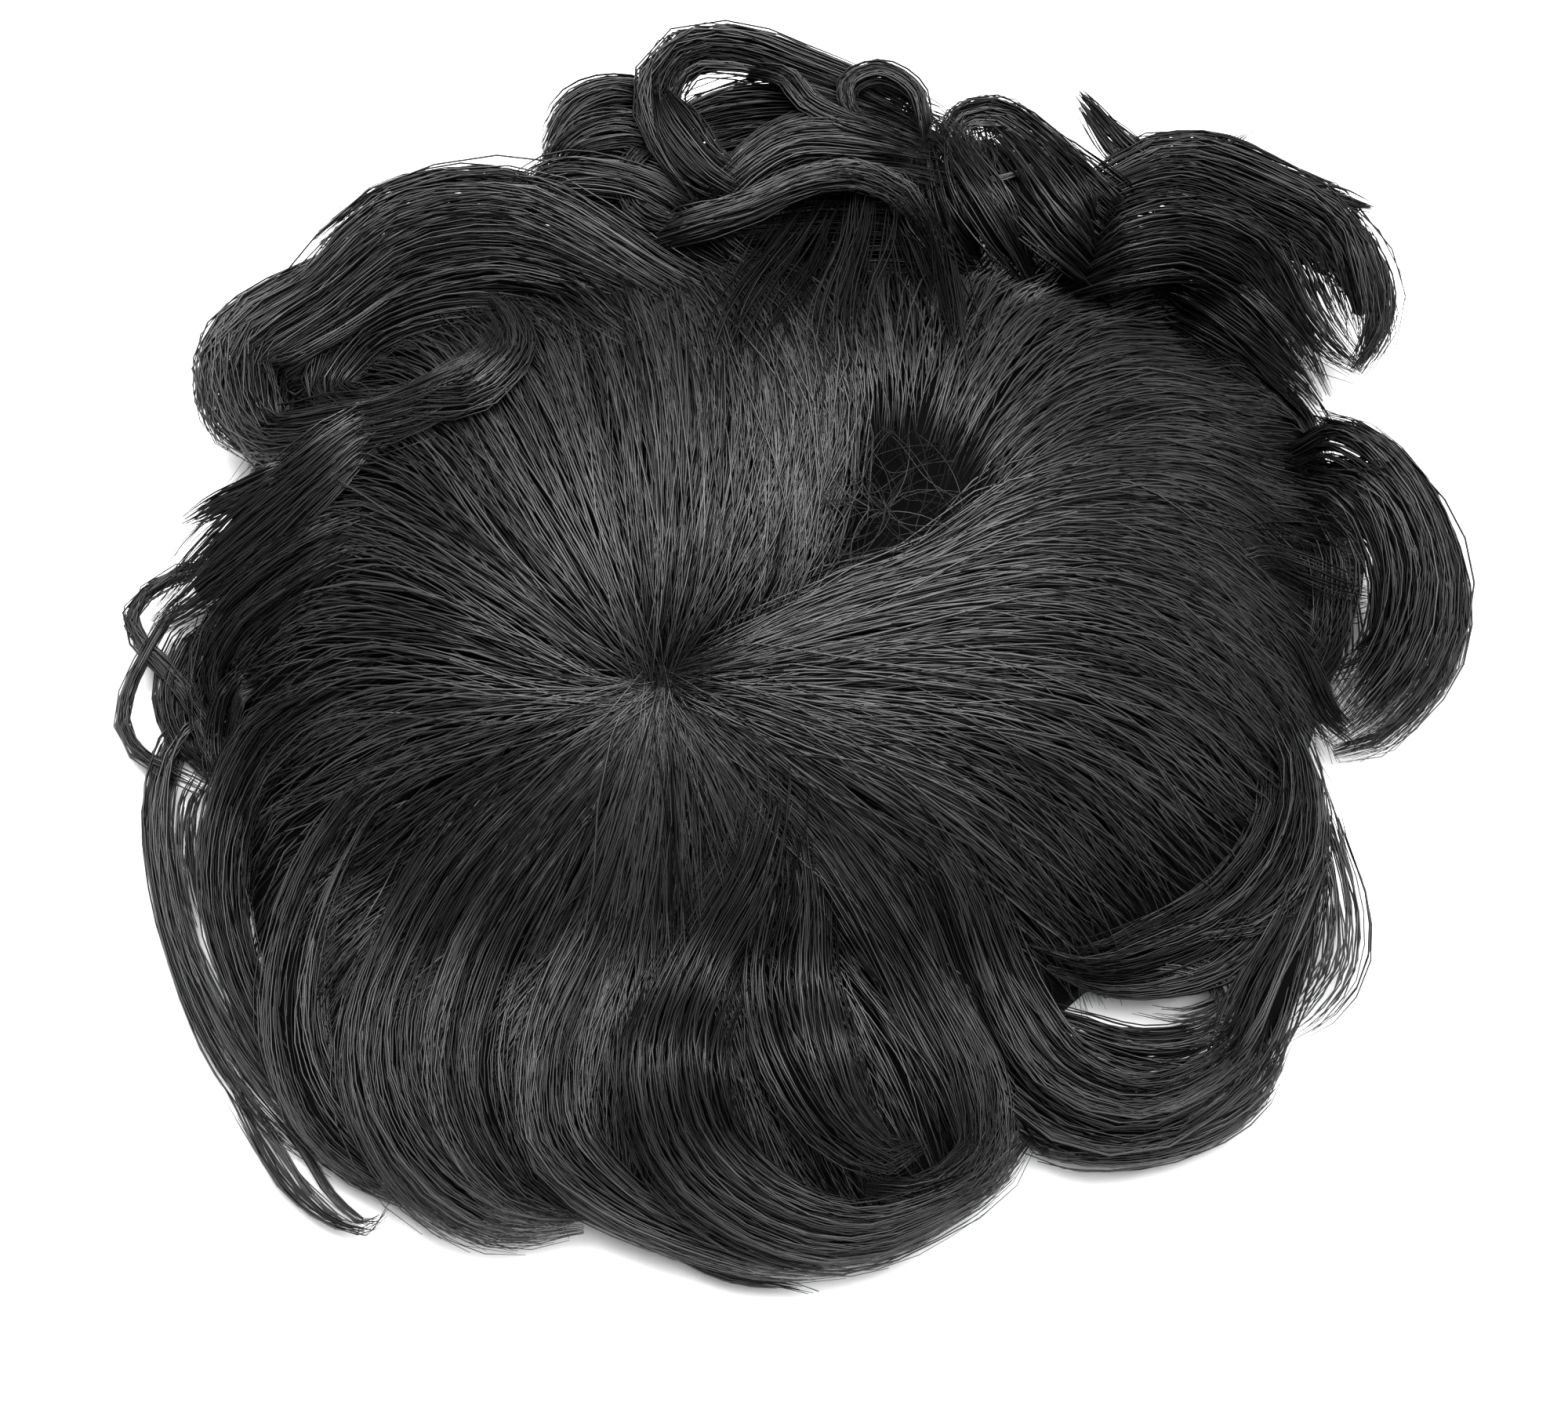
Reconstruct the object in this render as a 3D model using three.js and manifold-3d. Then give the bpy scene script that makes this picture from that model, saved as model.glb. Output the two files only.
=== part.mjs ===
// Lace front hair patch, lying hair side up: a domed lace base, the hair combed over
// it from two crowns, and the wavy ends that curl round its edge.
// Millimetres, +Z up. The base's rim and the lowest ends lie on z = 0, and the origin
// is the middle of the patch on that surface.
import * as THREE from 'three';
import { mergeVertices } from 'three/addons/utils/BufferGeometryUtils.js';
import Module from 'manifold-3d';

const wasm = await Module();
wasm.setup();

// Lace base: its middle in plan, half widths across X and Y, height inside the hair, and
// thickness of the net
const PATCH_CENTRE = new THREE.Vector2(-4, 14);
const BASE_HALF = new THREE.Vector2(84, 58);
const BASE_HEIGHT = 38;
const BASE_WALL = 1.2;

// Crown hair: half widths of its dome across X and Y, and its height
const CROWN_HALF = new THREE.Vector2(100, 74);
const CROWN_HEIGHT = 60;

// Skirt of loose hair round the dome: its height there, its edge, and how far it reaches
// all round and in lobes, each at its angle round the patch with its spread in degrees
const SKIRT_HEIGHT = 16;
const SKIRT_EDGE = 1.5;
const SKIRT_REACH = 4;
const SKIRT_LOBES = [
  { angle: 10, spread: 16, reach: 14 },
  { angle: 48, spread: 14, reach: 20 },
  { angle: 92, spread: 24, reach: 12 },
  { angle: 140, spread: 17, reach: 22 },
  { angle: 225, spread: 18, reach: 12 },
  { angle: 255, spread: 34, reach: 42 },
  { angle: 285, spread: 14, reach: 20 },
  { angle: 322, spread: 16, reach: 11 },
];
const SKIRT_BLEND = 2.5;

// In plan both domes are squarer than an ellipse, by this power
const PLAN_ROUNDNESS = 2.6;

// Both domes are fuller than a half ellipsoid on top and fall steeply at the rim
const DOME_FLATNESS = 2.4;
const DOME_SHOULDER = 0.7;

// The two points that the hair leaves from, and the furrows that part it
const WHORL = new THREE.Vector2(-24, -17);
const HOLLOW = new THREE.Vector2(22, 22);
const FURROWS = [
  { from: WHORL, to: WHORL, depth: 4, reach: 15 },
  { from: HOLLOW, to: HOLLOW, depth: 8, reach: 14 },
  { from: WHORL, to: HOLLOW, depth: 6, reach: 10 },
  { from: WHORL, to: new THREE.Vector2(-52, -16), depth: 3, reach: 7 },
  { from: new THREE.Vector2(-8, -42), to: new THREE.Vector2(-3, -58), depth: 4, reach: 7 },
];

// Hair combed over the dome in fans. Each lock leaves its source in the first direction,
// arrives at the skirt's edge at the second angle round the patch, and lies there in the third.
const FANS = [
  { source: WHORL, ways: [
    [39, 105, 125], [70, 115, 140], [100, 127, 160], [140, 152, 195], [180, 190, 232],
    [215, 220, 262], [245, 237, 280], [270, 250, 295], [290, 266, 312], [310, 283, 300],
    [330, 303, 300], [350, 325, 315], [370, 343, 300], [384, 357, 310]] },
  { source: WHORL.clone().lerp(HOLLOW, 0.5), ways: [[75, 101, 112], [0, 5, -45]] },
  { source: HOLLOW, ways: [
    [-15, 14, -30], [15, 25, -20], [45, 42, 5], [75, 65, 30], [100, 85, 70], [115, 97, 95]] },
];
const FAN_SPAN = [0.16, 0.98];
const FAN_STEPS = 5;
const FAN_SIDES = 5;
const FAN_BOW = 0.35;
const FAN_ROOT_HALF_WIDTH = 2;
const FAN_END_HALF_WIDTH = 12;
const FAN_HALF_THICKNESS = 4.2;
const FAN_SUNK = 2;

// The photo's camera: the point that it looks at, its distance from there, its angle above the floor
// in degrees, the photo's width and height in pixels, and a pixel's size at that point
const CAMERA_TARGET = new THREE.Vector3(-2.3, -1, 0);
const CAMERA_DISTANCE = 800;
const CAMERA_ELEVATION = 66;
const PHOTO_SIZE = new THREE.Vector2(2000, 1788);
const PIXEL = 0.15;

// Curled ends, each of a few tresses fused together, as the photo shows them. A tress runs through
// its points: pixels across and down the photo, the height of its middle in millimetres or ON_HAIR,
// and its width in pixels.
const ON_HAIR = 0;
const CURLS = [
  { name: 'back_left_curl', tresses: [
    [[870, 395, ON_HAIR, 90], [750, 315, 42, 165], [630, 292, 37, 195], [510, 318, 32, 190],
      [412, 394, 28, 165], [316, 470, 24, 146], [330, 548, 20, 100], [430, 545, 18, 85], [520, 525, 18, 70]],
    [[800, 450, ON_HAIR, 70], [660, 385, 36, 110], [550, 390, 30, 120], [460, 430, 26, 105],
      [420, 485, 22, 80], [470, 520, 18, 60], [550, 495, 18, 35]],
  ] },
  { name: 'left_lock', tresses: [
    [[560, 500, ON_HAIR, 50], [470, 545, 34, 80], [410, 600, 28, 105], [345, 660, 21, 125],
      [285, 715, 15, 125], [235, 760, 11, 90], [194, 794, 9, 50]],
    [[400, 580, 27, 50], [330, 620, 22, 50], [270, 650, 19, 40], [228, 672, 17, 14]],
  ] },
  { name: 'left_loop', tresses: [
    [[340, 670, 20, 36], [270, 702, 16, 30], [212, 736, 11, 26], [174, 766, 8, 20], [164, 792, 7, 20],
      [180, 820, 6, 22], [254, 905, 6, 28], [297, 1000, 8, 22]],
    [[230, 760, 11, 24], [188, 830, 7, 22], [164, 880, 5, 20], [156, 920, 4, 20], [174, 956, 4, 20],
      [225, 985, 5, 20], [285, 1015, 7, 14]],
  ] },
  { name: 'left_hang', tresses: [
    [[330, 830, ON_HAIR, 44], [250, 870, 10, 40], [210, 940, 8, 38], [199, 1030, 7, 40],
      [208, 1130, 6, 46], [242, 1240, 6, 56], [300, 1350, 5, 66], [372, 1440, 5, 56]],
    [[370, 900, ON_HAIR, 40], [312, 1000, 12, 42], [286, 1110, 9, 40], [300, 1220, 7, 42],
      [350, 1340, 6, 50], [425, 1440, 5, 34]],
    [[270, 1340, 6, 26], [325, 1450, 5, 14], [372, 1520, 4, 8], [425, 1562, 4, 7], [478, 1570, 4, 7],
      [497, 1540, 4, 6]],
  ] },
  { name: 'front_left_curl', tresses: [
    [[650, 1000, ON_HAIR, 70], [600, 1070, ON_HAIR, 105], [530, 1190, ON_HAIR, 120],
      [490, 1310, ON_HAIR, 130], [500, 1410, 14, 125], [560, 1505, 10, 110], [650, 1560, 8, 76],
      [735, 1555, 8, 34]],
    [[735, 1040, ON_HAIR, 65], [690, 1110, ON_HAIR, 105], [620, 1250, ON_HAIR, 120], [598, 1380, 15, 120],
      [635, 1480, 11, 95], [705, 1540, 9, 60], [770, 1535, 8, 26]],
    [[500, 970, ON_HAIR, 50], [440, 1060, ON_HAIR, 80], [380, 1200, 9, 85], [372, 1330, 9, 86],
      [420, 1440, 8, 80], [500, 1510, 7, 45]],
  ] },
  { name: 'front_curl', tresses: [
    [[930, 930, ON_HAIR, 45], [975, 990, ON_HAIR, 80], [960, 1110, ON_HAIR, 110],
      [895, 1250, ON_HAIR, 140], [866, 1370, 26, 150], [895, 1470, 16, 145], [975, 1540, 12, 120],
      [1090, 1572, 10, 94], [1200, 1538, 8, 60], [1298, 1455, 8, 24]],
    [[990, 1010, ON_HAIR, 44], [1010, 1130, ON_HAIR, 100], [1000, 1260, ON_HAIR, 135], [1030, 1370, 22, 135],
      [1085, 1450, 15, 100], [1145, 1480, 12, 60], [1185, 1455, 11, 26]],
    [[1040, 1040, ON_HAIR, 50], [1100, 1130, ON_HAIR, 95], [1190, 1280, ON_HAIR, 100], [1250, 1400, 14, 90],
      [1255, 1470, 11, 66], [1190, 1520, 9, 44], [1100, 1515, 9, 24]],
  ] },
  { name: 'front_low_lock', tresses: [
    [[790, 1110, ON_HAIR, 65], [760, 1200, ON_HAIR, 105], [705, 1350, ON_HAIR, 108], [715, 1465, 14, 95],
      [790, 1545, 10, 70], [890, 1596, 8, 56], [1000, 1628, 7, 44], [1085, 1620, 6, 20]],
  ] },
  { name: 'front_right_curl', tresses: [
    [[1160, 1050, ON_HAIR, 55], [1225, 1140, ON_HAIR, 100], [1290, 1278, ON_HAIR, 118], [1355, 1385, 13, 135],
      [1445, 1418, 11, 120], [1535, 1385, 10, 88], [1595, 1325, 9, 56], [1605, 1275, 9, 24]],
    [[1285, 1370, 6, 56], [1338, 1447, 8, 58], [1440, 1466, 7, 52], [1532, 1447, 7, 46],
      [1606, 1388, 7, 38], [1642, 1310, 7, 22]],
    [[1305, 1260, 8, 50], [1378, 1313, 9, 74], [1455, 1340, 9, 76], [1532, 1328, 9, 56],
      [1590, 1290, 9, 24]],
  ] },
  { name: 'right_wisp', tresses: [
    [[1600, 840, ON_HAIR, 50], [1660, 950, 15, 66], [1680, 1050, 11, 74], [1660, 1130, 9, 80],
      [1600, 1185, 8, 70], [1510, 1200, 7, 52], [1430, 1218, 7, 32], [1390, 1245, 6, 14]],
    [[1680, 1090, 9, 44], [1645, 1185, 7, 56], [1608, 1265, 7, 56], [1590, 1335, 8, 42]],
    [[1672, 960, 13, 28], [1700, 1080, 9, 36], [1714, 1160, 7, 48], [1706, 1235, 6, 54],
      [1670, 1290, 5, 46], [1630, 1325, 6, 20]],
  ] },
  { name: 'right_curl', tresses: [
    [[1500, 570, ON_HAIR, 60], [1640, 555, 30, 90], [1726, 586, 28, 108], [1786, 652, 25, 118],
      [1824, 745, 21, 122], [1800, 838, 16, 116], [1744, 908, 12, 96], [1692, 942, 11, 48]],
    [[1700, 620, 27, 66], [1750, 670, 24, 78], [1778, 745, 20, 78], [1765, 815, 15, 70],
      [1720, 860, 12, 48], [1690, 862, 11, 22]],
    [[1595, 640, 26, 90], [1675, 690, 17, 128], [1690, 770, 13, 128], [1675, 850, 11, 108],
      [1645, 905, 11, 60]],
  ] },
  { name: 'back_right_curl', tresses: [
    [[1330, 290, 34, 50], [1420, 240, 33, 80], [1510, 218, 31, 110], [1620, 255, 28, 120],
      [1706, 304, 26, 110], [1738, 372, 23, 100], [1748, 424, 21, 76], [1728, 472, 20, 34]],
    [[1320, 360, ON_HAIR, 60], [1420, 318, 36, 110], [1525, 300, 32, 140], [1612, 335, 27, 125],
      [1655, 400, 22, 85], [1700, 455, 19, 45]],
    [[1390, 380, 16, 60], [1490, 370, 29, 110], [1580, 400, 24, 118], [1645, 455, 19, 98],
      [1690, 515, 16, 42]],
    [[1490, 235, 31, 60], [1428, 186, 31, 50], [1370, 120, 31, 20]],
  ] },
  { name: 'back_right_lock', tresses: [
    [[1440, 370, 20, 60], [1365, 290, 37, 112], [1290, 212, 34, 116], [1230, 150, 32, 54]],
    [[1340, 370, ON_HAIR, 60], [1275, 280, 37, 92], [1225, 205, 35, 86], [1200, 150, 34, 42]],
    [[1490, 350, 14, 60], [1410, 262, 34, 102], [1345, 206, 33, 84], [1280, 152, 32, 32]],
  ] },
  { name: 'back_curl', tresses: [
    [[905, 250, 43, 50], [864, 190, 44, 62], [846, 118, 45, 66], [880, 75, 45, 68], [950, 72, 45, 70],
      [1020, 91, 45, 66], [1090, 114, 44, 62], [1150, 140, 42, 54], [1205, 180, 40, 26]],
    [[838, 112, 46, 28], [862, 165, 46, 62], [900, 212, 45, 62], [960, 245, 43, 40]],
    [[905, 258, 43, 46], [950, 212, 44, 60], [1005, 178, 45, 66], [1100, 172, 44, 66], [1190, 196, 42, 30]],
    [[840, 195, 37, 80], [920, 150, 38, 130], [1030, 132, 38, 130], [1130, 143, 37, 110],
      [1215, 173, 36, 50]],
  ] },
  { name: 'back_arch', tresses: [
    [[790, 320, 16, 50], [870, 287, 43, 46], [950, 264, 44, 46], [1022, 230, 45, 48], [1095, 220, 44, 54],
      [1155, 245, 42, 48], [1190, 292, 40, 24]],
    [[830, 250, 37, 60], [920, 232, 38, 70], [1022, 206, 38, 70], [1125, 201, 37, 70], [1218, 224, 36, 48]],
  ] },
  { name: 'back_left_loop', tresses: [
    [[845, 118, 41, 36], [780, 112, 41, 38], [726, 140, 40, 38], [700, 186, 39, 34], [690, 230, 38, 16]],
    [[870, 190, 40, 50], [800, 168, 40, 60], [740, 183, 39, 58], [696, 225, 38, 32]],
    [[890, 270, 40, 64], [800, 235, 40, 66], [720, 233, 39, 66], [648, 260, 38, 44]],
  ] },
];
const CURL_LIFT = 1.5;
const SIGHT_STEP = 0.25;
const TRESS_STEP = 14;
const SHORTEST_TRESS = 4;
const TRESS_SIDES = 6;
const THICKNESS_SHARE = 0.8;
const TIP_SHARE = 0.35;

// Clearance between two pieces that lie against each other
const GAP = 0.3;

const DOME_SEGMENTS = 32;
const DOME_RINGS = 7;
const SKIRT_RINGS = 2;

// The last ring of a plain dome lies on the floor; no other ring's share comes near 1
const RIM = 0.999;
const WELD_DISTANCE = 1e-4;
const SLOPE_STEP = 0.5;

const LACE = new THREE.MeshStandardMaterial({ color: 0x2c2b2b, roughness: 0.8, metalness: 0 });
const HAIR = new THREE.MeshStandardMaterial({ color: 0x1a1a1b, roughness: 0.42, metalness: 0 });
const UP = new THREE.Vector3(0, 0, 1);
const CAMERA = photoCamera();

// A closed three.js geometry as a solid that can be joined and cut
function solidOf(geometry) {
  geometry.deleteAttribute('normal');
  geometry.deleteAttribute('uv');
  const merged = mergeVertices(geometry, WELD_DISTANCE);
  const index = merged.index.array;
  const triangles = [];
  for (let i = 0; i < index.length; i += 3) {
    const [a, b, c] = index.slice(i, i + 3);
    if (a !== b && b !== c && c !== a) {
      triangles.push(a, b, c);
    }
  }
  return new wasm.Manifold(new wasm.Mesh({
    numProp: 3,
    vertProperties: Float32Array.from(merged.attributes.position.array),
    triVerts: Uint32Array.from(triangles),
  }));
}

// A solid as a named mesh
function meshOf(name, solid, material) {
  const { numProp, vertProperties, triVerts } = solid.getMesh();
  const geometry = new THREE.BufferGeometry();
  const corners = new THREE.InterleavedBuffer(vertProperties, numProp);
  geometry.setAttribute('position', new THREE.InterleavedBufferAttribute(corners, 3, 0));
  geometry.setIndex(new THREE.BufferAttribute(triVerts, 1));
  const mesh = new THREE.Mesh(geometry.toNonIndexed(), material);
  mesh.geometry.computeVertexNormals();
  mesh.name = name;
  return mesh;
}

// The main body of a solid, without the slivers that a cut leaves
function mainBody(solid) {
  const bodies = solid.decompose();
  bodies.sort((a, b) => b.volume() - a.volume());
  return bodies[0];
}

// Height of a dome of height 1 at a share of the way from its middle to its rim
function domeHeight(share) {
  return Math.pow(Math.max(0, 1 - Math.pow(share, DOME_FLATNESS)), DOME_SHOULDER);
}

// Share of the way from the patch's middle to a rim of those half widths
function rimShare(across, along, half) {
  const out = Math.pow(Math.abs(across / half.x), PLAN_ROUNDNESS)
    + Math.pow(Math.abs(along / half.y), PLAN_ROUNDNESS);
  return Math.pow(out, 1 / PLAN_ROUNDNESS);
}

// Distance from the patch's middle to a rim of those half widths, in a direction in plan
function rimReach(direction, half) {
  const share = rimShare(direction.x, direction.y, half);
  return share > 0 ? 1 / share : 0;
}

// How far the skirt reaches past the dome's rim at an angle round the patch
function skirtReach(angle) {
  let reach = SKIRT_REACH;
  for (const lobe of SKIRT_LOBES) {
    const away = THREE.MathUtils.euclideanModulo(angle - lobe.angle + 180, 360) - 180;
    reach += lobe.reach * Math.exp(-Math.pow(away / lobe.spread, 2));
  }
  return reach;
}

// Depth that the furrows press into the hair at a point in plan
function furrowDepth(x, y) {
  const point = new THREE.Vector3(x, y, 0);
  const nearest = new THREE.Vector3();
  let depth = 0;
  for (const { from, to, depth: deepest, reach } of FURROWS) {
    const line = new THREE.Line3(new THREE.Vector3(from.x, from.y, 0), new THREE.Vector3(to.x, to.y, 0));
    line.closestPointToPoint(point, true, nearest);
    depth += deepest * Math.exp(-Math.pow(nearest.distanceTo(point) / reach, 2));
  }
  return depth;
}

// Top of the hair at a point in plan: the dome, blended into the skirt round it
function hairTop(x, y, grow = 0) {
  const across = x - PATCH_CENTRE.x;
  const along = y - PATCH_CENTRE.y;
  const share = rimShare(across, along, CROWN_HALF.clone().addScalar(grow));
  const dome = (CROWN_HEIGHT + grow - furrowDepth(x, y)) * domeHeight(share);
  const angle = THREE.MathUtils.radToDeg(Math.atan2(along, across));
  const past = Math.max(0, 1 - 1 / share) * Math.hypot(across, along);
  const spread = Math.min(1, past / skirtReach(angle));
  const skirt = THREE.MathUtils.lerp(SKIRT_HEIGHT, SKIRT_EDGE, spread * spread) + grow;
  return Math.pow(Math.pow(dome, SKIRT_BLEND) + Math.pow(skirt, SKIRT_BLEND), 1 / SKIRT_BLEND);
}

// Slope of the hair's top, as the direction that points straight out of it
function hairNormal(x, y) {
  const slopeX = (hairTop(x + SLOPE_STEP, y) - hairTop(x - SLOPE_STEP, y)) / (2 * SLOPE_STEP);
  const slopeY = (hairTop(x, y + SLOPE_STEP) - hairTop(x, y - SLOPE_STEP)) / (2 * SLOPE_STEP);
  return new THREE.Vector3(-slopeX, -slopeY, 1).normalize();
}

// A domed wall, open below. Inside and outside each give the shares of the way out of their
// rings, and the point at a share in a direction from the middle.
function domeWall(inside, outside, floor = 0) {
  const INNER = 0;
  const FLOOR = 1;
  const OUTER = 2;
  const profile = [
    ...inside.shares.map((share) => new THREE.Vector2(share, INNER)),
    new THREE.Vector2(outside.shares.at(-1), FLOOR),
    ...outside.shares.toReversed().map((share) => new THREE.Vector2(share, OUTER)),
  ];
  const geometry = new THREE.LatheGeometry(profile, DOME_SEGMENTS);
  const position = geometry.attributes.position;
  for (let i = 0; i < position.count; i += 1) {
    const direction = new THREE.Vector2(position.getX(i), -position.getZ(i));
    const share = direction.length();
    const layer = Math.round(position.getY(i));
    const dome = layer === INNER ? inside : outside;
    const point = dome.pointAt(direction.normalize(), share);
    position.setXYZ(i, point.x, point.y, layer === FLOOR ? floor : point.z);
  }
  return solidOf(geometry);
}

// Shares of the way from a dome's middle to its rim, closer together where it is steep
function domeShares() {
  const shares = [];
  for (let ring = 0; ring <= DOME_RINGS; ring += 1) {
    shares.push(Math.sin((Math.PI / 2) * (ring / DOME_RINGS)));
  }
  return shares;
}

// A plain dome with its rim on the floor
function plainDome(half, height, floor = 0) {
  return {
    shares: domeShares(),
    pointAt(direction, share) {
      const plan = direction.clone().multiplyScalar(share * rimReach(direction, half)).add(PATCH_CENTRE);
      const top = share < RIM ? height * domeHeight(share) : floor;
      return new THREE.Vector3(plan.x, plan.y, top);
    },
  };
}

// The hair's dome, with the skirt in shares past 1
function hairDome(grow) {
  const shares = domeShares();
  for (let ring = 1; ring <= SKIRT_RINGS; ring += 1) {
    shares.push(1 + ring / SKIRT_RINGS);
  }
  return {
    shares,
    pointAt(direction, share) {
      const rim = rimReach(direction, CROWN_HALF.clone().addScalar(grow));
      const angle = THREE.MathUtils.radToDeg(Math.atan2(direction.y, direction.x));
      const reach = rim * Math.min(1, share) + skirtReach(angle) * Math.max(0, share - 1);
      const plan = direction.clone().multiplyScalar(reach).add(PATCH_CENTRE);
      return new THREE.Vector3(plan.x, plan.y, hairTop(plan.x, plan.y, grow));
    },
  };
}

// A lock of hair through its stations, each a point with the lock's cross axes and half sizes.
// Its first corner lies at one side, so that an even number of corners gives it its full width.
function lockThrough(stations, sides, floor = 0) {
  const steps = stations.length - 1;
  const geometry = new THREE.CylinderGeometry(1, 1, 1, sides, steps, false, Math.PI / 2);
  const position = geometry.attributes.position;
  const corner = new THREE.Vector3();
  for (let i = 0; i < position.count; i += 1) {
    const station = stations[Math.round((0.5 - position.getY(i)) * steps)];
    corner.copy(station.point);
    corner.addScaledVector(station.across, position.getX(i) * station.halfWidth);
    corner.addScaledVector(station.up, position.getZ(i) * station.halfThickness);
    position.setXYZ(i, corner.x, corner.y, Math.max(corner.z, floor));
  }
  return solidOf(geometry);
}

// A direction in plan, from its angle in degrees
function headingOf(angle) {
  const turned = THREE.MathUtils.degToRad(angle);
  return new THREE.Vector2(Math.cos(turned), Math.sin(turned));
}

// One lock of a fan, lying on the dome from the point it leaves to the skirt's edge
function fanLock(source, [leave, arrive, turned], grow) {
  const outward = headingOf(arrive);
  const reach = rimReach(outward, CROWN_HALF) + skirtReach(arrive);
  const end = outward.multiplyScalar(reach).add(PATCH_CENTRE);
  const bow = FAN_BOW * end.distanceTo(source);
  const way = new THREE.CubicBezierCurve(
    source,
    source.clone().addScaledVector(headingOf(leave), bow),
    end.clone().addScaledVector(headingOf(turned), -bow),
    end,
  );
  const stations = [];
  for (let step = 0; step <= FAN_STEPS; step += 1) {
    const at = step / FAN_STEPS;
    const along = THREE.MathUtils.lerp(...FAN_SPAN, at);
    const plan = way.getPoint(along);
    const tangent = way.getTangent(along);
    const up = hairNormal(plan.x, plan.y);
    const forward = new THREE.Vector3(tangent.x, tangent.y, 0).projectOnPlane(up).normalize();
    const point = new THREE.Vector3(plan.x, plan.y, hairTop(plan.x, plan.y));
    const taper = step === 0 || step === FAN_STEPS ? TIP_SHARE : 1;
    const halfWidth = THREE.MathUtils.lerp(FAN_ROOT_HALF_WIDTH, FAN_END_HALF_WIDTH, at) * taper;
    stations.push({
      point: point.addScaledVector(up, -FAN_SUNK),
      across: new THREE.Vector3().crossVectors(up, forward),
      up,
      halfWidth: halfWidth + grow,
      halfThickness: FAN_HALF_THICKNESS * taper + grow,
    });
  }
  return lockThrough(stations, FAN_SIDES, -grow);
}

// The hair over the base: a backing with its combed locks fused on
function crownHair(grow = 0) {
  const inside = plainDome(BASE_HALF.clone().addScalar(GAP), BASE_HEIGHT + GAP, -grow);
  let crown = domeWall(inside, hairDome(grow), -grow);
  for (const { source, ways } of FANS) {
    for (const way of ways) {
      crown = crown.add(fanLock(source, way, grow));
    }
  }
  return crown;
}

// The camera that the photo was taken with
function photoCamera() {
  const field = 2 * Math.atan((PHOTO_SIZE.y * PIXEL) / (2 * CAMERA_DISTANCE));
  const camera = new THREE.PerspectiveCamera(THREE.MathUtils.radToDeg(field), PHOTO_SIZE.x / PHOTO_SIZE.y);
  const elevation = THREE.MathUtils.degToRad(CAMERA_ELEVATION);
  camera.up.copy(UP);
  camera.position.set(0, -Math.cos(elevation), Math.sin(elevation));
  camera.position.multiplyScalar(CAMERA_DISTANCE).add(CAMERA_TARGET);
  camera.lookAt(CAMERA_TARGET);
  camera.updateMatrixWorld();
  return camera;
}

// The place at a height above the floor that the photo shows at a pixel
function seenAt(across, down, height) {
  const sight = new THREE.Raycaster();
  const view = new THREE.Vector2((2 * across) / PHOTO_SIZE.x - 1, 1 - (2 * down) / PHOTO_SIZE.y);
  sight.setFromCamera(view, CAMERA);
  return sight.ray.intersectPlane(new THREE.Plane(UP, -height), new THREE.Vector3());
}

// A tress's point and width in millimetres. One that lies on the hair is just above the place
// where the line of sight meets the hair.
function placed([across, down, height, width]) {
  const onHair = height === ON_HAIR;
  let level = onHair ? CROWN_HEIGHT : height;
  let point = seenAt(across, down, level);
  while (onHair && level > hairTop(point.x, point.y) + CURL_LIFT) {
    level -= SIGHT_STEP;
    point = seenAt(across, down, level);
  }
  return { point, width: width * PIXEL };
}

// A tress through its points, drawn in at both ends
function tress(rows, grow) {
  const points = rows.map(placed);
  const way = new THREE.CatmullRomCurve3(points.map(({ point }) => point));
  const spans = points.length - 1;
  const steps = Math.max(SHORTEST_TRESS, Math.round(way.getLength() / TRESS_STEP));
  const stations = [];
  for (let step = 0; step <= steps; step += 1) {
    const at = step / steps;
    const span = Math.min(spans - 1, Math.floor(at * spans));
    const width = THREE.MathUtils.lerp(points[span].width, points[span + 1].width, at * spans - span);
    const tangent = way.getTangent(at);
    const taper = step === 0 || step === steps ? TIP_SHARE : 1;
    stations.push({
      point: way.getPoint(at),
      across: new THREE.Vector3(-tangent.y, tangent.x, 0).normalize(),
      up: UP,
      halfWidth: (width / 2) * taper + grow,
      halfThickness: THICKNESS_SHARE * (width / 2) * taper + grow,
    });
  }
  return lockThrough(stations, TRESS_SIDES, -grow);
}

// A curled end: its tresses joined
function curl(tresses, grow = 0) {
  const [first, ...others] = tresses.map((rows) => tress(rows, grow));
  return others.reduce((joined, other) => joined.add(other), first);
}

const patch = new THREE.Group();
const baseInside = plainDome(BASE_HALF.clone().addScalar(-BASE_WALL), BASE_HEIGHT - BASE_WALL);
const baseOutside = plainDome(BASE_HALF, BASE_HEIGHT);
patch.add(meshOf('lace_base', domeWall(baseInside, baseOutside), LACE));
patch.add(meshOf('crown_hair', crownHair(), HAIR));

// Each curl is cut clear of the crown and of the curls before it
let taken = crownHair(GAP);
for (const { name, tresses } of CURLS) {
  const clear = mainBody(curl(tresses).subtract(taken));
  patch.add(meshOf(name, clear, HAIR));
  taken = taken.add(curl(tresses, GAP));
}

export default patch;
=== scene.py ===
import math

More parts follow.
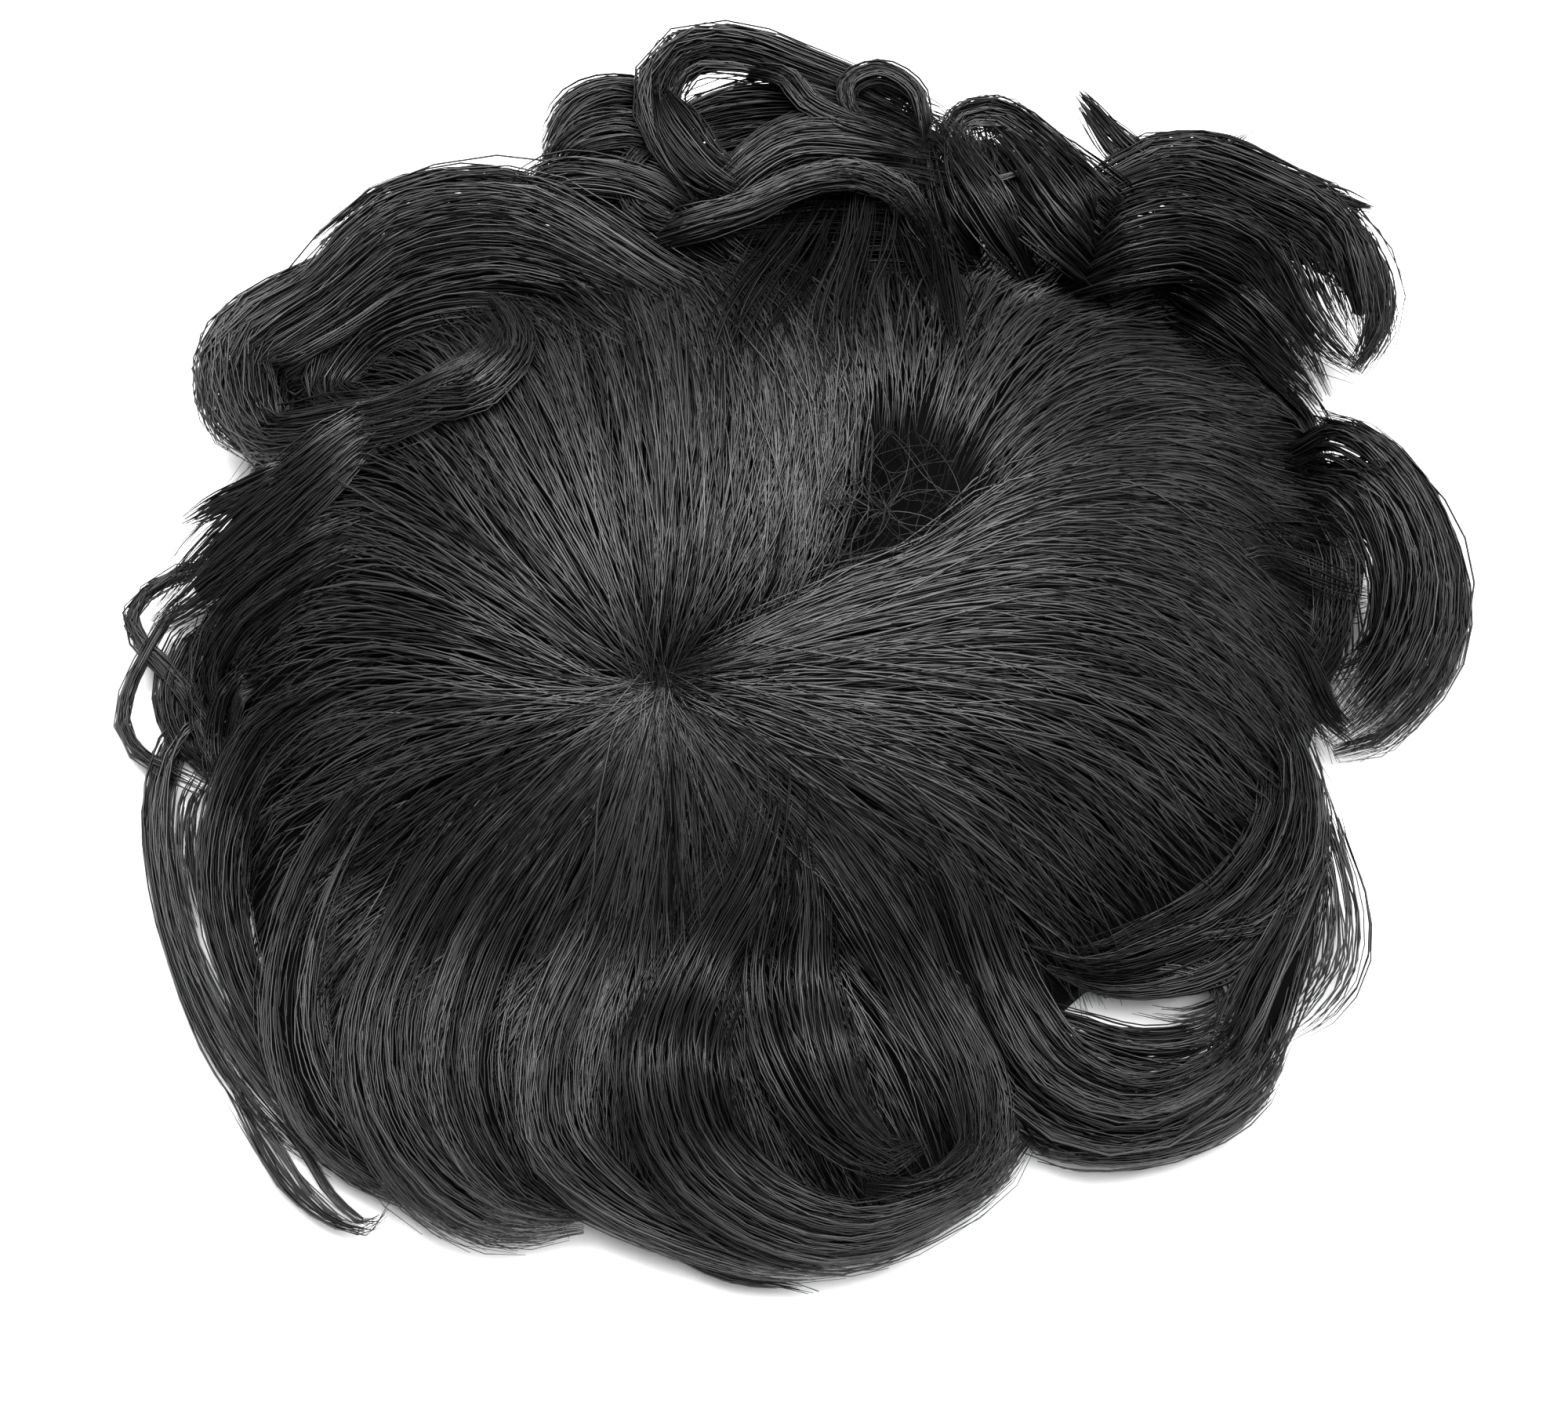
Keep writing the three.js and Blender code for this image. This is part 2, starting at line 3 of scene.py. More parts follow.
import bmesh
import bpy
import numpy as np
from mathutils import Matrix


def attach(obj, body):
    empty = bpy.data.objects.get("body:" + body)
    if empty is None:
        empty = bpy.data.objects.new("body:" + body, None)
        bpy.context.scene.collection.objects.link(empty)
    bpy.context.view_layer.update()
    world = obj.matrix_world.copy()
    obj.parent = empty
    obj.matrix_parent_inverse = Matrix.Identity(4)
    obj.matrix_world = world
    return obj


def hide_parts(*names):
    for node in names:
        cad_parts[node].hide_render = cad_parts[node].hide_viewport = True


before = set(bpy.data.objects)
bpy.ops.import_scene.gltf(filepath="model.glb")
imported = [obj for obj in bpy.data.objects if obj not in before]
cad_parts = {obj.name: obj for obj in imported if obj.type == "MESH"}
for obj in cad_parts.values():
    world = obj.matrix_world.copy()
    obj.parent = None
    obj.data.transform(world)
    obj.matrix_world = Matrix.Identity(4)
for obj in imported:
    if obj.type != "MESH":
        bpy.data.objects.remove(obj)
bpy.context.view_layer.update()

# Camera. The patch is seen from in front and well above, through a long lens, so that it
# fills the width of the picture with its curled ends just inside the frame.
VIEW_TARGET = (-0.0023, -0.0010, 0.0)
VIEW_ELEVATION = math.radians(66)
VIEW_DISTANCE = 0.8
VIEW_FIELD = 0.3

camera_data = bpy.data.cameras.new("camera")
camera_data.lens = camera_data.sensor_width * VIEW_DISTANCE / VIEW_FIELD
camera = bpy.data.objects.new("camera", camera_data)
camera.location = (
    VIEW_TARGET[0],
    VIEW_TARGET[1] - VIEW_DISTANCE * math.cos(VIEW_ELEVATION),
    VIEW_TARGET[2] + VIEW_DISTANCE * math.sin(VIEW_ELEVATION),
)
camera.rotation_euler = (math.pi / 2 - VIEW_ELEVATION, 0, 0)
bpy.context.collection.objects.link(camera)
bpy.context.scene.camera = camera

# Lace base. A domed cap of fine black hexagon net that the hair is knotted into and that lies
# on the scalp, with a thread round its cut edge. It is drawn coarser than life, at 6 mm a cell.
# Sizes here and below are in millimetres, and MM makes them metres.
MM = 0.001
TINY = 1e-6
PATCH_CENTRE = np.array((-4.0, 14.0))
BASE_HALF = np.array((84.0, 58.0))
BASE_HEIGHT = 38.0
BASE_WALL = 1.2
PLAN_ROUNDNESS = 2.6
DOME_FLATNESS = 2.4
DOME_SHOULDER = 0.7
DOME_STATIONS = 60
NET_CELL = 6.0
NET_ROW = NET_CELL * math.sqrt(3) / 2
NET_BEND = NET_CELL / (4 * math.sqrt(3))
NET_THREAD = 0.5
LACE_COLOUR = "1c1b1b"
LACE_ROUGHNESS = 0.75
TWIST_SCALE = 2500.0
TWIST_DETAIL = 2.0
TWIST_DEPTH = 0.2 * MM
TWIST_STRENGTH = 0.6


def linear(colour):
    """An sRGB hex colour as a linear colour with full alpha."""
    parts = [int(colour[i:i + 2], 16) / 255 for i in (0, 2, 4)]
    return [p / 12.92 if p <= 0.04045 else ((p + 0.055) / 1.055) ** 2.4 for p in parts] + [1]


def add_node(material, kind, settings=None, **inputs):
    """Adds a node to a material: its settings, and its inputs as values or other sockets."""
    node = material.node_tree.nodes.new(kind)
    for name, value in (settings or {}).items():
        setattr(node, name, value)
    for name, value in inputs.items():
        socket = node.inputs[name.replace("_", " ")]
        if isinstance(value, bpy.types.NodeSocket):
            material.node_tree.links.new(value, socket)
        else:
            socket.default_value = value
    return node


def new_material(name):
    """An empty node material and its output node."""
    material = bpy.data.materials.new(name)
    material.use_nodes = True
    material.node_tree.nodes.clear()
    return material, add_node(material, "ShaderNodeOutputMaterial")


def dome_height(share):
    """Height of a dome of height 1 at a share of the way from its middle to its rim."""
    return np.maximum(0, 1 - share ** DOME_FLATNESS) ** DOME_SHOULDER


def rim_share(plan, half):
    """Share of the way from the patch's middle to a rim of those half widths."""
    out = np.abs((plan - PATCH_CENTRE) / half) ** PLAN_ROUNDNESS
    return np.maximum(out.sum(axis=-1) ** (1 / PLAN_ROUNDNESS), TINY)


def mesh_piece(name, mesh, material):
    """Puts a mesh into the scene as a piece of the patch."""
    mesh.materials.append(material)
    piece = bpy.data.objects.new(name, mesh)
    bpy.context.collection.objects.link(piece)
    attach(piece, "root")
    return piece


# Polyester net is matt, with a faint gloss along the twist of its threads
lace, lace_output = new_material("black_polyester_net")
lace_place = add_node(lace, "ShaderNodeTexCoord")
lace_twist = add_node(
    lace, "ShaderNodeTexNoise",
    Vector=lace_place.outputs["Object"], Scale=TWIST_SCALE, Detail=TWIST_DETAIL,
)
lace_bump = add_node(
    lace, "ShaderNodeBump",
    Height=lace_twist.outputs["Fac"], Distance=TWIST_DEPTH, Strength=TWIST_STRENGTH,
)
lace_shader = add_node(
    lace, "ShaderNodeBsdfPrincipled",
    Base_Color=linear(LACE_COLOUR), Roughness=LACE_ROUGHNESS, Normal=lace_bump.outputs["Normal"],
)
lace.node_tree.links.new(lace_shader.outputs["BSDF"], lace_output.inputs["Surface"])

# The net starts as a flat grid. Every second upright is taken out and the rows are bent into
# hexagons, then the disc is laid over the dome by its length along the dome from the middle.
dome_shares = np.sin(np.linspace(0, math.pi / 2, DOME_STATIONS))
dome_run = np.hypot(
    np.diff(dome_shares) * BASE_HALF.mean(), np.diff(BASE_HEIGHT * dome_height(dome_shares)),
)
dome_run = np.concatenate(([0], np.cumsum(dome_run)))
net_half = BASE_HALF * dome_run[-1] / BASE_HALF.mean()
net_columns = round(4 * net_half[0] / NET_CELL)
net_rows = round(2 * net_half[1] / NET_ROW)
net_shape = bmesh.new()
bmesh.ops.create_grid(net_shape, x_segments=net_columns, y_segments=net_rows, size=0.5)
grid_place = {
    v: (round((v.co.x + 0.5) * net_columns), round((v.co.y + 0.5) * net_rows)) for v in net_shape.verts
}
spare = []
for edge in net_shape.edges:
    (column, row), (end_column, end_row) = (grid_place[v] for v in edge.verts)
    if column == end_column and (column + min(row, end_row)) % 2:
        spare.append(edge)
for corner, (column, row) in grid_place.items():
    bend = NET_BEND if (column + row) % 2 == 0 else -NET_BEND
    corner.co = ((column - net_columns / 2) * NET_CELL / 2, (row - net_rows / 2) * NET_ROW + bend, 0)
bmesh.ops.dissolve_edges(net_shape, edges=spare, use_verts=False)
outside = []
for face in net_shape.faces:
    middle = np.array(face.calc_center_median().xy)
    if rim_share(PATCH_CENTRE + middle, net_half) > 1:
        outside.append(face)
bmesh.ops.delete(net_shape, geom=outside, context="FACES")
for corner in net_shape.verts:
    flat = np.array(corner.co.xy)
    run = min(1, float(rim_share(flat + PATCH_CENTRE, net_half)))
    share = np.interp(run * dome_run[-1], dome_run, dome_shares)
    plan = PATCH_CENTRE + flat / net_half * BASE_HALF * share / max(run, TINY)
    height = (BASE_HEIGHT - BASE_WALL / 2) * dome_height(share)
    corner.co = (plan[0] * MM, plan[1] * MM, max(height, BASE_WALL / 2) * MM)
bmesh.ops.wireframe(
    net_shape, faces=net_shape.faces, thickness=NET_THREAD * MM, use_replace=True, use_boundary=True,
    use_even_offset=True,
)
net_mesh = bpy.data.meshes.new("lace_net")
net_shape.to_mesh(net_mesh)
net_shape.free()
lace_net = mesh_piece("lace_net", net_mesh, lace)
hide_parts("lace_base")

# Crown hair. Black human hair knotted into the lace, parted at a whorl and at a hollow behind
# it, and combed outwards over the dome in four fans of fine locks down to a loose skirt.
CROWN_HALF = np.array((100.0, 74.0))
CROWN_HEIGHT = 60.0
SKIRT_HEIGHT = 16.0
SKIRT_EDGE = 1.5
SKIRT_REACH = 4.0
SKIRT_BLEND = 2.5
# Lobes of the skirt: the angle round the patch and the spread in degrees, and the reach
SKIRT_LOBES = (
    (10, 16, 14), (48, 14, 20), (92, 24, 12), (140, 17, 22), (225, 18, 12), (255, 34, 42), (285, 14, 20),
    (326, 14, 6),
)
WHORL = np.array((-25.0, -20.0))
HOLLOW = np.array((16.0, 13.0))
# Furrows: where each starts and ends, its depth and its reach
FURROWS = (
    (WHORL, WHORL, 1.5, 12),
    (HOLLOW, HOLLOW, 16, 13),
    (np.array((-17.0, -14.0)), np.array((0.0, -4.0)), 4, 6),
    (np.array((-34.0, -18.0)), np.array((-50.0, -15.0)), 4, 6),
    (np.array((-8.0, -42.0)), np.array((-3.0, -58.0)), 4, 7),
)
# Each fan: the line that its roots lie on, its hairs and clumps, how close to the line the roots
# keep and how far they start behind it, then a row per guide of the direction that it leaves in,
# the angle round the patch that it arrives at, and its direction there
FANS = (
    ("whorl", ((-25, -20), (-25, -20)), 3200, 130, 1.3, 0.02, (
        (39, 112, 145), (70, 120, 155), (100, 130, 165), (140, 152, 195), (180, 190, 232),
        (215, 220, 262), (245, 237, 280), (270, 250, 295), (290, 266, 312), (310, 283, 300),
        (330, 303, 300), (350, 325, 312), (370, 341, 302), (384, 353, 308))),
    ("parting_back", ((-25, -20), (-8, -12), (0, -8), (-7, -1), (-3, 6), (-9, 13), (-4, 25)),
        900, 40, 2.2, 0.05, (
        (39, 112, 145), (56, 110, 140), (58, 107, 132), (60, 106, 129), (54, 105, 126), (64, 102, 118),
        (84, 99, 108))),
    ("parting_front", ((-25, -20), (-6, -11), (8, -6), (18, -1), (35, 11)), 750, 36, 2.2, 0.05, (
        (24, -7, -52), (24, -5, -52), (28, -2, -52), (36, 2, -52), (45, 6, -50))),
    ("hollow", ((35, 11), (35, 16), (32, 22), (26, 26), (17, 28), (6, 28), (-4, 25)),
        1100, 50, 1.6, 0.06, (
        (45, 6, -50), (52, 15, -50), (60, 28, -42), (72, 46, -22), (86, 72, 25), (94, 92, 75),
        (84, 99, 108))),
)
FAN_STEPS = 9
FAN_BOWS = (0.2, 0.5)
FAN_LAST_ROOT = 0.6
FAN_ENDS = (0.86, 1.03)
# Hairs that arrive in the hollow under the right curl end short, which bares the backing's painted
# shade there: its angle and spread, and the cut
RIGHT_HOLLOW = 10
RIGHT_HOLLOW_SPREAD = 12
RIGHT_HOLLOW_CUT = 0.3
# A fan's clumps: how unevenly they are spaced, how much of their space they fill, how they draw
# together, drift and sway on their way, how their middles stand out, and their tones
CLUMP_JITTER = 0.35
CLUMP_FILL = 0.85
CLUMP_PINCH = 0.35
CLUMP_DRIFT = 1.1
CLUMP_DRIFT_FROM = 0.4
CLUMP_SWAY = 0.006
CLUMP_SWAY_PACE = 5
CLUMP_RISE = 0.9
CLUMP_CREST = 1.6
CLUMP_TONES = (0.25, 0.95)
# Single hairs of a fan: their scatter at the root and in direction, their waves, the few that
# stray, their lift over the hair's top, and their tones, which painted shade darkens towards
# the edges of clumps
ROOT_SCATTER = 1.6
LEAVE_SCATTER = 0.1
ARRIVE_SCATTER = 0.05
TURN_SCATTER = 0.18
FAN_WAVES = (0.3, 1.2)
FAN_PACES = (5, 11)
FAN_WAVE_ONSET = 4
FAN_STRAYS = 11
STRAY_RISE = 3
FAN_LIFT = (0.3, 0.35)
FAN_ROOT_SINK = 9
FAN_TONE = (0.2, 0.2)
FAN_EDGE_PAINTED_SHADE = 0.6
LOWEST_HAIR = 0.5
# Loose hairs in the hollow: how far round it they go and how far in, their sag and their look
PIT_HAIRS = 60
PIT_STEPS = 20
PIT_RADIUS = 16.0
PIT_SWEEPS = (80, 190)
PIT_DIPS = (0.1, 1.2)
PIT_SAG = 9
PIT_TONE = 0.6
PIT_THICKNESS = 0.5
BACKING_SEGMENTS = 96
BACKING_RINGS = 48
BACKING_SUNK = 2.5
BACKING_RIM = 0.999
BACKING_INNER_RIM = 0.96
BASE_CLEARANCE = 0.6
FLOOR_CLEARANCE = 0.4
HAIR_COLOURS = ("0b0b0c", "1c1b1b")
HAIR_ROUGHNESS = (0.36, 0.52)
HAIR_IOR = 1.55
HAIR_GLOSS = (0.08, 0.7)
HAIR_RADII = (0.14, 0.27)
HAIR_TAPER_AT = (0, 0.2, 0.7, 1)
HAIR_TAPER = (0.35, 1, 1, 0.25)
HAIR_CORNERS = np.radians((90, 210, 330))
HAIRS_A_PIECE = 2500
# The under hair's colour is painted shade, darker than the hair's own
UNDER_SHADE_COLOUR = "050505"
UNDER_ROUGHNESS = 0.9
UNDER_GLOSS = 0.04
# A mix node's colour sockets, which share their names with its other sockets
MIX_FIRST, MIX_SECOND, MIX_RESULT = 6, 7, 2
rng = np.random.default_rng(11)


def heading_line(angle):
    """The direction in plan at an angle in radians."""
    return np.stack((np.cos(angle), np.sin(angle)), axis=-1)


def skirt_reach(angle):
    """How far the skirt reaches past the dome's rim at an angle in degrees round the patch."""
    reach = SKIRT_REACH
    for lobe_angle, spread, lobe_reach in SKIRT_LOBES:
        away = (angle - lobe_angle + 180) % 360 - 180
        reach = reach + lobe_reach * np.exp(-(away / spread) ** 2)
    return reach


def furrow_depth(plan):
    """Depth that the furrows press into the hair at points in plan."""
    depth = 0
    for start, end, deepest, reach in FURROWS:
        line = end - start
        along = np.clip((plan - start) @ line / max(line @ line, TINY), 0, 1)
        away = np.linalg.norm(plan - start - along[..., None] * line, axis=-1)
        depth = depth + deepest * np.exp(-(away / reach) ** 2)
    return depth


def hair_top(plan):
    """Top of the hair at points in plan: the dome, blended into the skirt round it."""
    out = plan - PATCH_CENTRE
    share = rim_share(plan, CROWN_HALF)
    dome = (CROWN_HEIGHT - furrow_depth(plan)) * dome_height(share)
    angle = np.degrees(np.arctan2(out[..., 1], out[..., 0]))
    past = np.maximum(0, 1 - 1 / share) * np.linalg.norm(out, axis=-1)
    spread = np.minimum(1, past / skirt_reach(angle))
    skirt = SKIRT_HEIGHT + (SKIRT_EDGE - SKIRT_HEIGHT) * spread ** 2
    return (dome ** SKIRT_BLEND + skirt ** SKIRT_BLEND) ** (1 / SKIRT_BLEND)


def skirt_edge(angle):
    """Points in plan on the skirt's edge at angles in radians round the patch."""
    outward = heading_line(angle)
    rim = 1 / rim_share(PATCH_CENTRE + outward, CROWN_HALF)
    return PATCH_CENTRE + outward * (rim + skirt_reach(np.degrees(angle)))[..., None]


def bezier(start, leave, arrive, end, along):
    """Points at shares along a cubic curve from its four control points."""
    t = along[..., None]
    s = 1 - t
    return s ** 3 * start + 3 * s * s * t * leave + 3 * s * t * t * arrive + t ** 3 * end


def smooth(mesh):
    """Shades all faces of a mesh smooth."""
    mesh.polygons.foreach_set("use_smooth", np.ones(len(mesh.polygons), dtype=bool))


def hair_piece(name, bundles, tones, thickness=1):
    """Joins bundles of hairs into one piece. Each hair is a closed, three-sided tube through its
    points, thinner at the root and drawn out to the tip, a share of the usual thickness."""
    points = []
    walls = []
    caps = []
    first = 0
    for paths in bundles:
        count, steps = paths.shape[:2]
        tangent = np.gradient(paths, axis=1)
        tangent /= np.maximum(np.linalg.norm(tangent, axis=2, keepdims=True), TINY)
        side = np.cross(tangent, (0.0, 0.0, 1.0))
        side /= np.maximum(np.linalg.norm(side, axis=2, keepdims=True), TINY)
        over = np.cross(side, tangent)
        taper = np.interp(np.linspace(0, 1, steps), HAIR_TAPER_AT, HAIR_TAPER)
        radii = (thickness * rng.uniform(*HAIR_RADII, count)[:, None] * taper)[..., None]
        ring = [paths + radii * (math.cos(t) * side + math.sin(t) * over) for t in HAIR_CORNERS]
        points.append(np.stack(ring, axis=2).reshape(-1, 3) * MM)
        corner = first + np.arange(count * steps * 3).reshape(count, steps, 3)
        near = corner[:, :-1]
        far = corner[:, 1:]
        quads = np.stack((near, far, np.roll(far, -1, 2), np.roll(near, -1, 2)), axis=-1)
        walls.append(quads.reshape(-1, 4))
        caps += [corner[:, 0], corner[:, -1, ::-1]]
        first += count * steps * 3
    points, walls, caps = (np.concatenate(part) for part in (points, walls, caps))
    mesh = bpy.data.meshes.new(name)
    mesh.vertices.add(len(points))
    mesh.vertices.foreach_set("co", points.astype(np.float32).ravel())
    mesh.loops.add(walls.size + caps.size)
    mesh.loops.foreach_set("vertex_index", np.concatenate((walls.ravel(), caps.ravel())))
    mesh.polygons.add(len(walls) + len(caps))
    sizes = np.concatenate((np.full(len(walls), 4), np.full(len(caps), 3)))
    mesh.polygons.foreach_set("loop_start", np.cumsum(sizes) - sizes)
    smooth(mesh)
    mesh.update(calc_edges=True)
    shade = mesh.attributes.new("shade", "FLOAT", "POINT")
    values = [np.repeat(tone, paths.shape[1] * 3) for tone, paths in zip(tones, bundles)]
    shade.data.foreach_set("value", np.concatenate(values).astype(np.float32))
    return mesh_piece(name, mesh, hair)


# Hair is a smooth, dark, slightly glossy fibre. Each hair here stands for a few dozen, is about
# 0.4 mm thick, and differs a little from the next in tone and gloss. The tone also carries painted
# shade: darker, less glossy hairs at the edges of clumps and in the tresses that lie in shade.
hair, hair_output = new_material("black_human_hair")
hair_shade = add_node(hair, "ShaderNodeAttribute", {"attribute_name": "shade"})
hair_colour = add_node(
    hair, "ShaderNodeMix", {"data_type": "RGBA"}, Factor=hair_shade.outputs["Fac"],
)
hair_colour.inputs[MIX_FIRST].default_value = linear(HAIR_COLOURS[0])
hair_colour.inputs[MIX_SECOND].default_value = linear(HAIR_COLOURS[1])
hair_roughness = add_node(
    hair, "ShaderNodeMapRange",
    Value=hair_shade.outputs["Fac"], To_Min=HAIR_ROUGHNESS[0], To_Max=HAIR_ROUGHNESS[1],
)
hair_gloss = add_node(
    hair, "ShaderNodeMapRange",
    Value=hair_shade.outputs["Fac"], To_Min=HAIR_GLOSS[0], To_Max=HAIR_GLOSS[1],
)
hair_shader = add_node(
    hair, "ShaderNodeBsdfPrincipled",
    Base_Color=hair_colour.outputs[MIX_RESULT], Roughness=hair_roughness.outputs["Result"],
    IOR=HAIR_IOR, Specular_IOR_Level=hair_gloss.outputs["Result"],
)
hair.node_tree.links.new(hair_shader.outputs["BSDF"], hair_output.inputs["Surface"])

# The dense hair under the top layer gets hardly any light, so its colour is painted shade: darker
# and duller than the hair's own black
under, under_output = new_material("shaded_under_hair")
under_shader = add_node(
    under, "ShaderNodeBsdfPrincipled",
    Base_Color=linear(UNDER_SHADE_COLOUR), Roughness=UNDER_ROUGHNESS, Specular_IOR_Level=UNDER_GLOSS,
)
under.node_tree.links.new(under_shader.outputs["BSDF"], under_output.inputs["Surface"])

# The backing is that dense hair: a dome that follows the hair's top a little way down, and the
# base's outside underneath
backing_shape = bmesh.new()
bmesh.ops.create_uvsphere(
    backing_shape, u_segments=BACKING_SEGMENTS, v_segments=BACKING_RINGS, radius=1,
)
for corner in backing_shape.verts:
    flat = np.array(corner.co.xy)
    share = np.linalg.norm(flat)
    angle = math.atan2(flat[1], flat[0])
    edge = skirt_edge(np.array(angle)) - PATCH_CENTRE
    reach = np.linalg.norm(edge)
    if corner.co.z > -TINY:
        plan = PATCH_CENTRE + edge * (1 - BACKING_SUNK / reach) * share
        height = hair_top(plan) - BACKING_SUNK if share < BACKING_RIM else 0
    else:
        inner = min(1, share / BACKING_INNER_RIM)
        inner_rim = edge / rim_share(PATCH_CENTRE + edge, BASE_HALF + BASE_CLEARANCE)
        plan = PATCH_CENTRE + inner_rim * inner
        height = (BASE_HEIGHT + BASE_CLEARANCE) * dome_height(inner)
    corner.co = (plan[0] * MM, plan[1] * MM, max(FLOOR_CLEARANCE, height) * MM)
bmesh.ops.recalc_face_normals(backing_shape, faces=backing_shape.faces)
backing_mesh = bpy.data.meshes.new("crown_backing")
backing_shape.to_mesh(backing_mesh)
backing_shape.free()
smooth(backing_mesh)
crown_backing = mesh_piece("crown_backing", backing_mesh, under)
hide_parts("crown_hair")


def fan_hairs(roots, count, clumps, closeness, behind, guides):
    """Paths of the hairs of one fan, clump by clump, and their tones."""
    middle = (np.arange(clumps) + 0.5 + rng.uniform(-CLUMP_JITTER, CLUMP_JITTER, clumps)) / clumps
    raised = rng.normal(0, CLUMP_RISE, clumps)
    tone = rng.uniform(*CLUMP_TONES, clumps)
    sway = rng.uniform(0, 2 * math.pi, clumps)
    clump = rng.integers(clumps, size=count)
    across = rng.uniform(-1, 1, count)
    drift = rng.normal(0, CLUMP_DRIFT, count)
    loose = rng.uniform(0, 1, count)[:, None] ** FAN_STRAYS
    wave = rng.uniform(*FAN_WAVES, count)[:, None] + STRAY_RISE * loose
    pace = rng.uniform(*FAN_PACES, count)[:, None]
    phase = rng.uniform(0, 2 * math.pi, count)[:, None]
    begin = FAN_LAST_ROOT * rng.uniform(0, 1, count) ** closeness - behind * rng.uniform(0, 1, count)
    finish = rng.uniform(*FAN_ENDS, count)
    guide_shares = np.linspace(0, 1, len(guides))
    leaves, arrives, turns = np.transpose(guides)
    away = np.interp(middle[clump], guide_shares, arrives) - RIGHT_HOLLOW
    finish = finish * (1 - RIGHT_HOLLOW_CUT * np.exp(-(away / RIGHT_HOLLOW_SPREAD) ** 2))

    # Each hair's place across the fan, at every step along it
    gone = np.linspace(0, 1, FAN_STEPS)
    along = begin[:, None] + (finish - begin)[:, None] * gone
    share = across[:, None] * (1 - CLUMP_PINCH * np.clip(along, 0, 1) ** 2)
    share = share + drift[:, None] * (along - CLUMP_DRIFT_FROM)
    share = middle[clump][:, None] + share * CLUMP_FILL / clumps
    share = share + CLUMP_SWAY * np.sin(CLUMP_SWAY_PACE * along + sway[clump][:, None]) * along
    share = np.clip(share, 0, 1)

    # From the line of roots it runs on a curve to the skirt's edge, in waves
    root_shares = np.linspace(0, 1, len(roots))
    root_places = [np.interp(share, root_shares, column) for column in np.transpose(roots)]
    source = np.stack(root_places, axis=-1) + rng.normal(0, ROOT_SCATTER, (count, 1, 2))
    leave = np.radians(np.interp(share, guide_shares, leaves))
    leave = leave + rng.normal(0, LEAVE_SCATTER, (count, 1))
    arrive = np.radians(np.interp(share, guide_shares, arrives))
    arrive = arrive + rng.normal(0, ARRIVE_SCATTER, (count, 1))
    turned = np.radians(np.interp(share, guide_shares, turns))
    turned = turned + rng.normal(0, TURN_SCATTER, (count, 1))
    end = skirt_edge(arrive)
    bow = rng.uniform(*FAN_BOWS, (count, 1, 1)) * np.linalg.norm(end - source, axis=-1)[..., None]
    plan = bezier(
        source, source + bow * heading_line(leave), end - bow * heading_line(turned), end, along,
    )
    outward = heading_line(turned)
    left = np.stack((-outward[..., 1], outward[..., 0]), axis=-1)
    waved = wave * np.clip(FAN_WAVE_ONSET * along, 0, 1) * np.sin(pace * along + phase)
    plan = plan + left * waved[..., None]

    # It lies on the hair, higher in the middle of its clump
    crest = CLUMP_CREST * along * (1 - across[:, None] ** 2)
    lift = crest + raised[clump][:, None] * along + rng.normal(*FAN_LIFT, count)[:, None]
    lift = lift + STRAY_RISE * loose * np.sin(math.pi * gone) - np.exp(-FAN_ROOT_SINK * gone)
    height = np.maximum(hair_top(plan) + lift, LOWEST_HAIR)
    paths = np.concatenate((plan, height[..., None]), axis=2)
    # Tones differ at random by clump and hair, and painted shade makes them darker towards a clump's edges
    tones = tone[clump] + rng.normal(*FAN_TONE, count) - FAN_EDGE_PAINTED_SHADE * across ** 2
    return paths, np.clip(tones, 0, 1)


for name, *fan in FANS:
    fan_paths, fan_tones = fan_hairs(*fan)
    parts = math.ceil(len(fan_paths) / HAIRS_A_PIECE)
    for part in range(parts):
        pick = slice(part, None, parts)
        piece = hair_piece(f"crown_hair_{name}_{part + 1}", [fan_paths[pick]], [fan_tones[pick]])

# A few loose hairs arch across the hollow
pit_along = np.linspace(0, 1, PIT_STEPS)
pit_angle = rng.uniform(0, 2 * math.pi, PIT_HAIRS)[:, None]
pit_angle = pit_angle + np.radians(rng.uniform(*PIT_SWEEPS, PIT_HAIRS))[:, None] * pit_along
pit_dip = rng.uniform(*PIT_DIPS, PIT_HAIRS)[:, None] * np.sin(math.pi * pit_along)
pit_plan = HOLLOW + heading_line(pit_angle) * (PIT_RADIUS * (1 - pit_dip))[..., None]
pit_start = hair_top(pit_plan[:, :1])
pit_end = hair_top(pit_plan[:, -1:])
pit_height = pit_start + (pit_end - pit_start) * pit_along
pit_height = pit_height - rng.uniform(0, PIT_SAG, (PIT_HAIRS, 1)) * np.sin(math.pi * pit_along)
pit_paths = np.concatenate((pit_plan, pit_height[..., None]), axis=2)
pit_tones = PIT_TONE * rng.uniform(0, 1, PIT_HAIRS) ** 2
pit_piece = hair_piece("crown_hair_strays", [pit_paths], [pit_tones], PIT_THICKNESS)

# Curled ends. The ends of the same hair, set in waves, gather into locks that leave the dome,
# turn over at the edge and lie on the table. Each lock is a bundle of clumps of hairs.
PICTURE_WIDTH = 2000
PICTURE_MIDDLE = np.array((1000.0, 894.0))
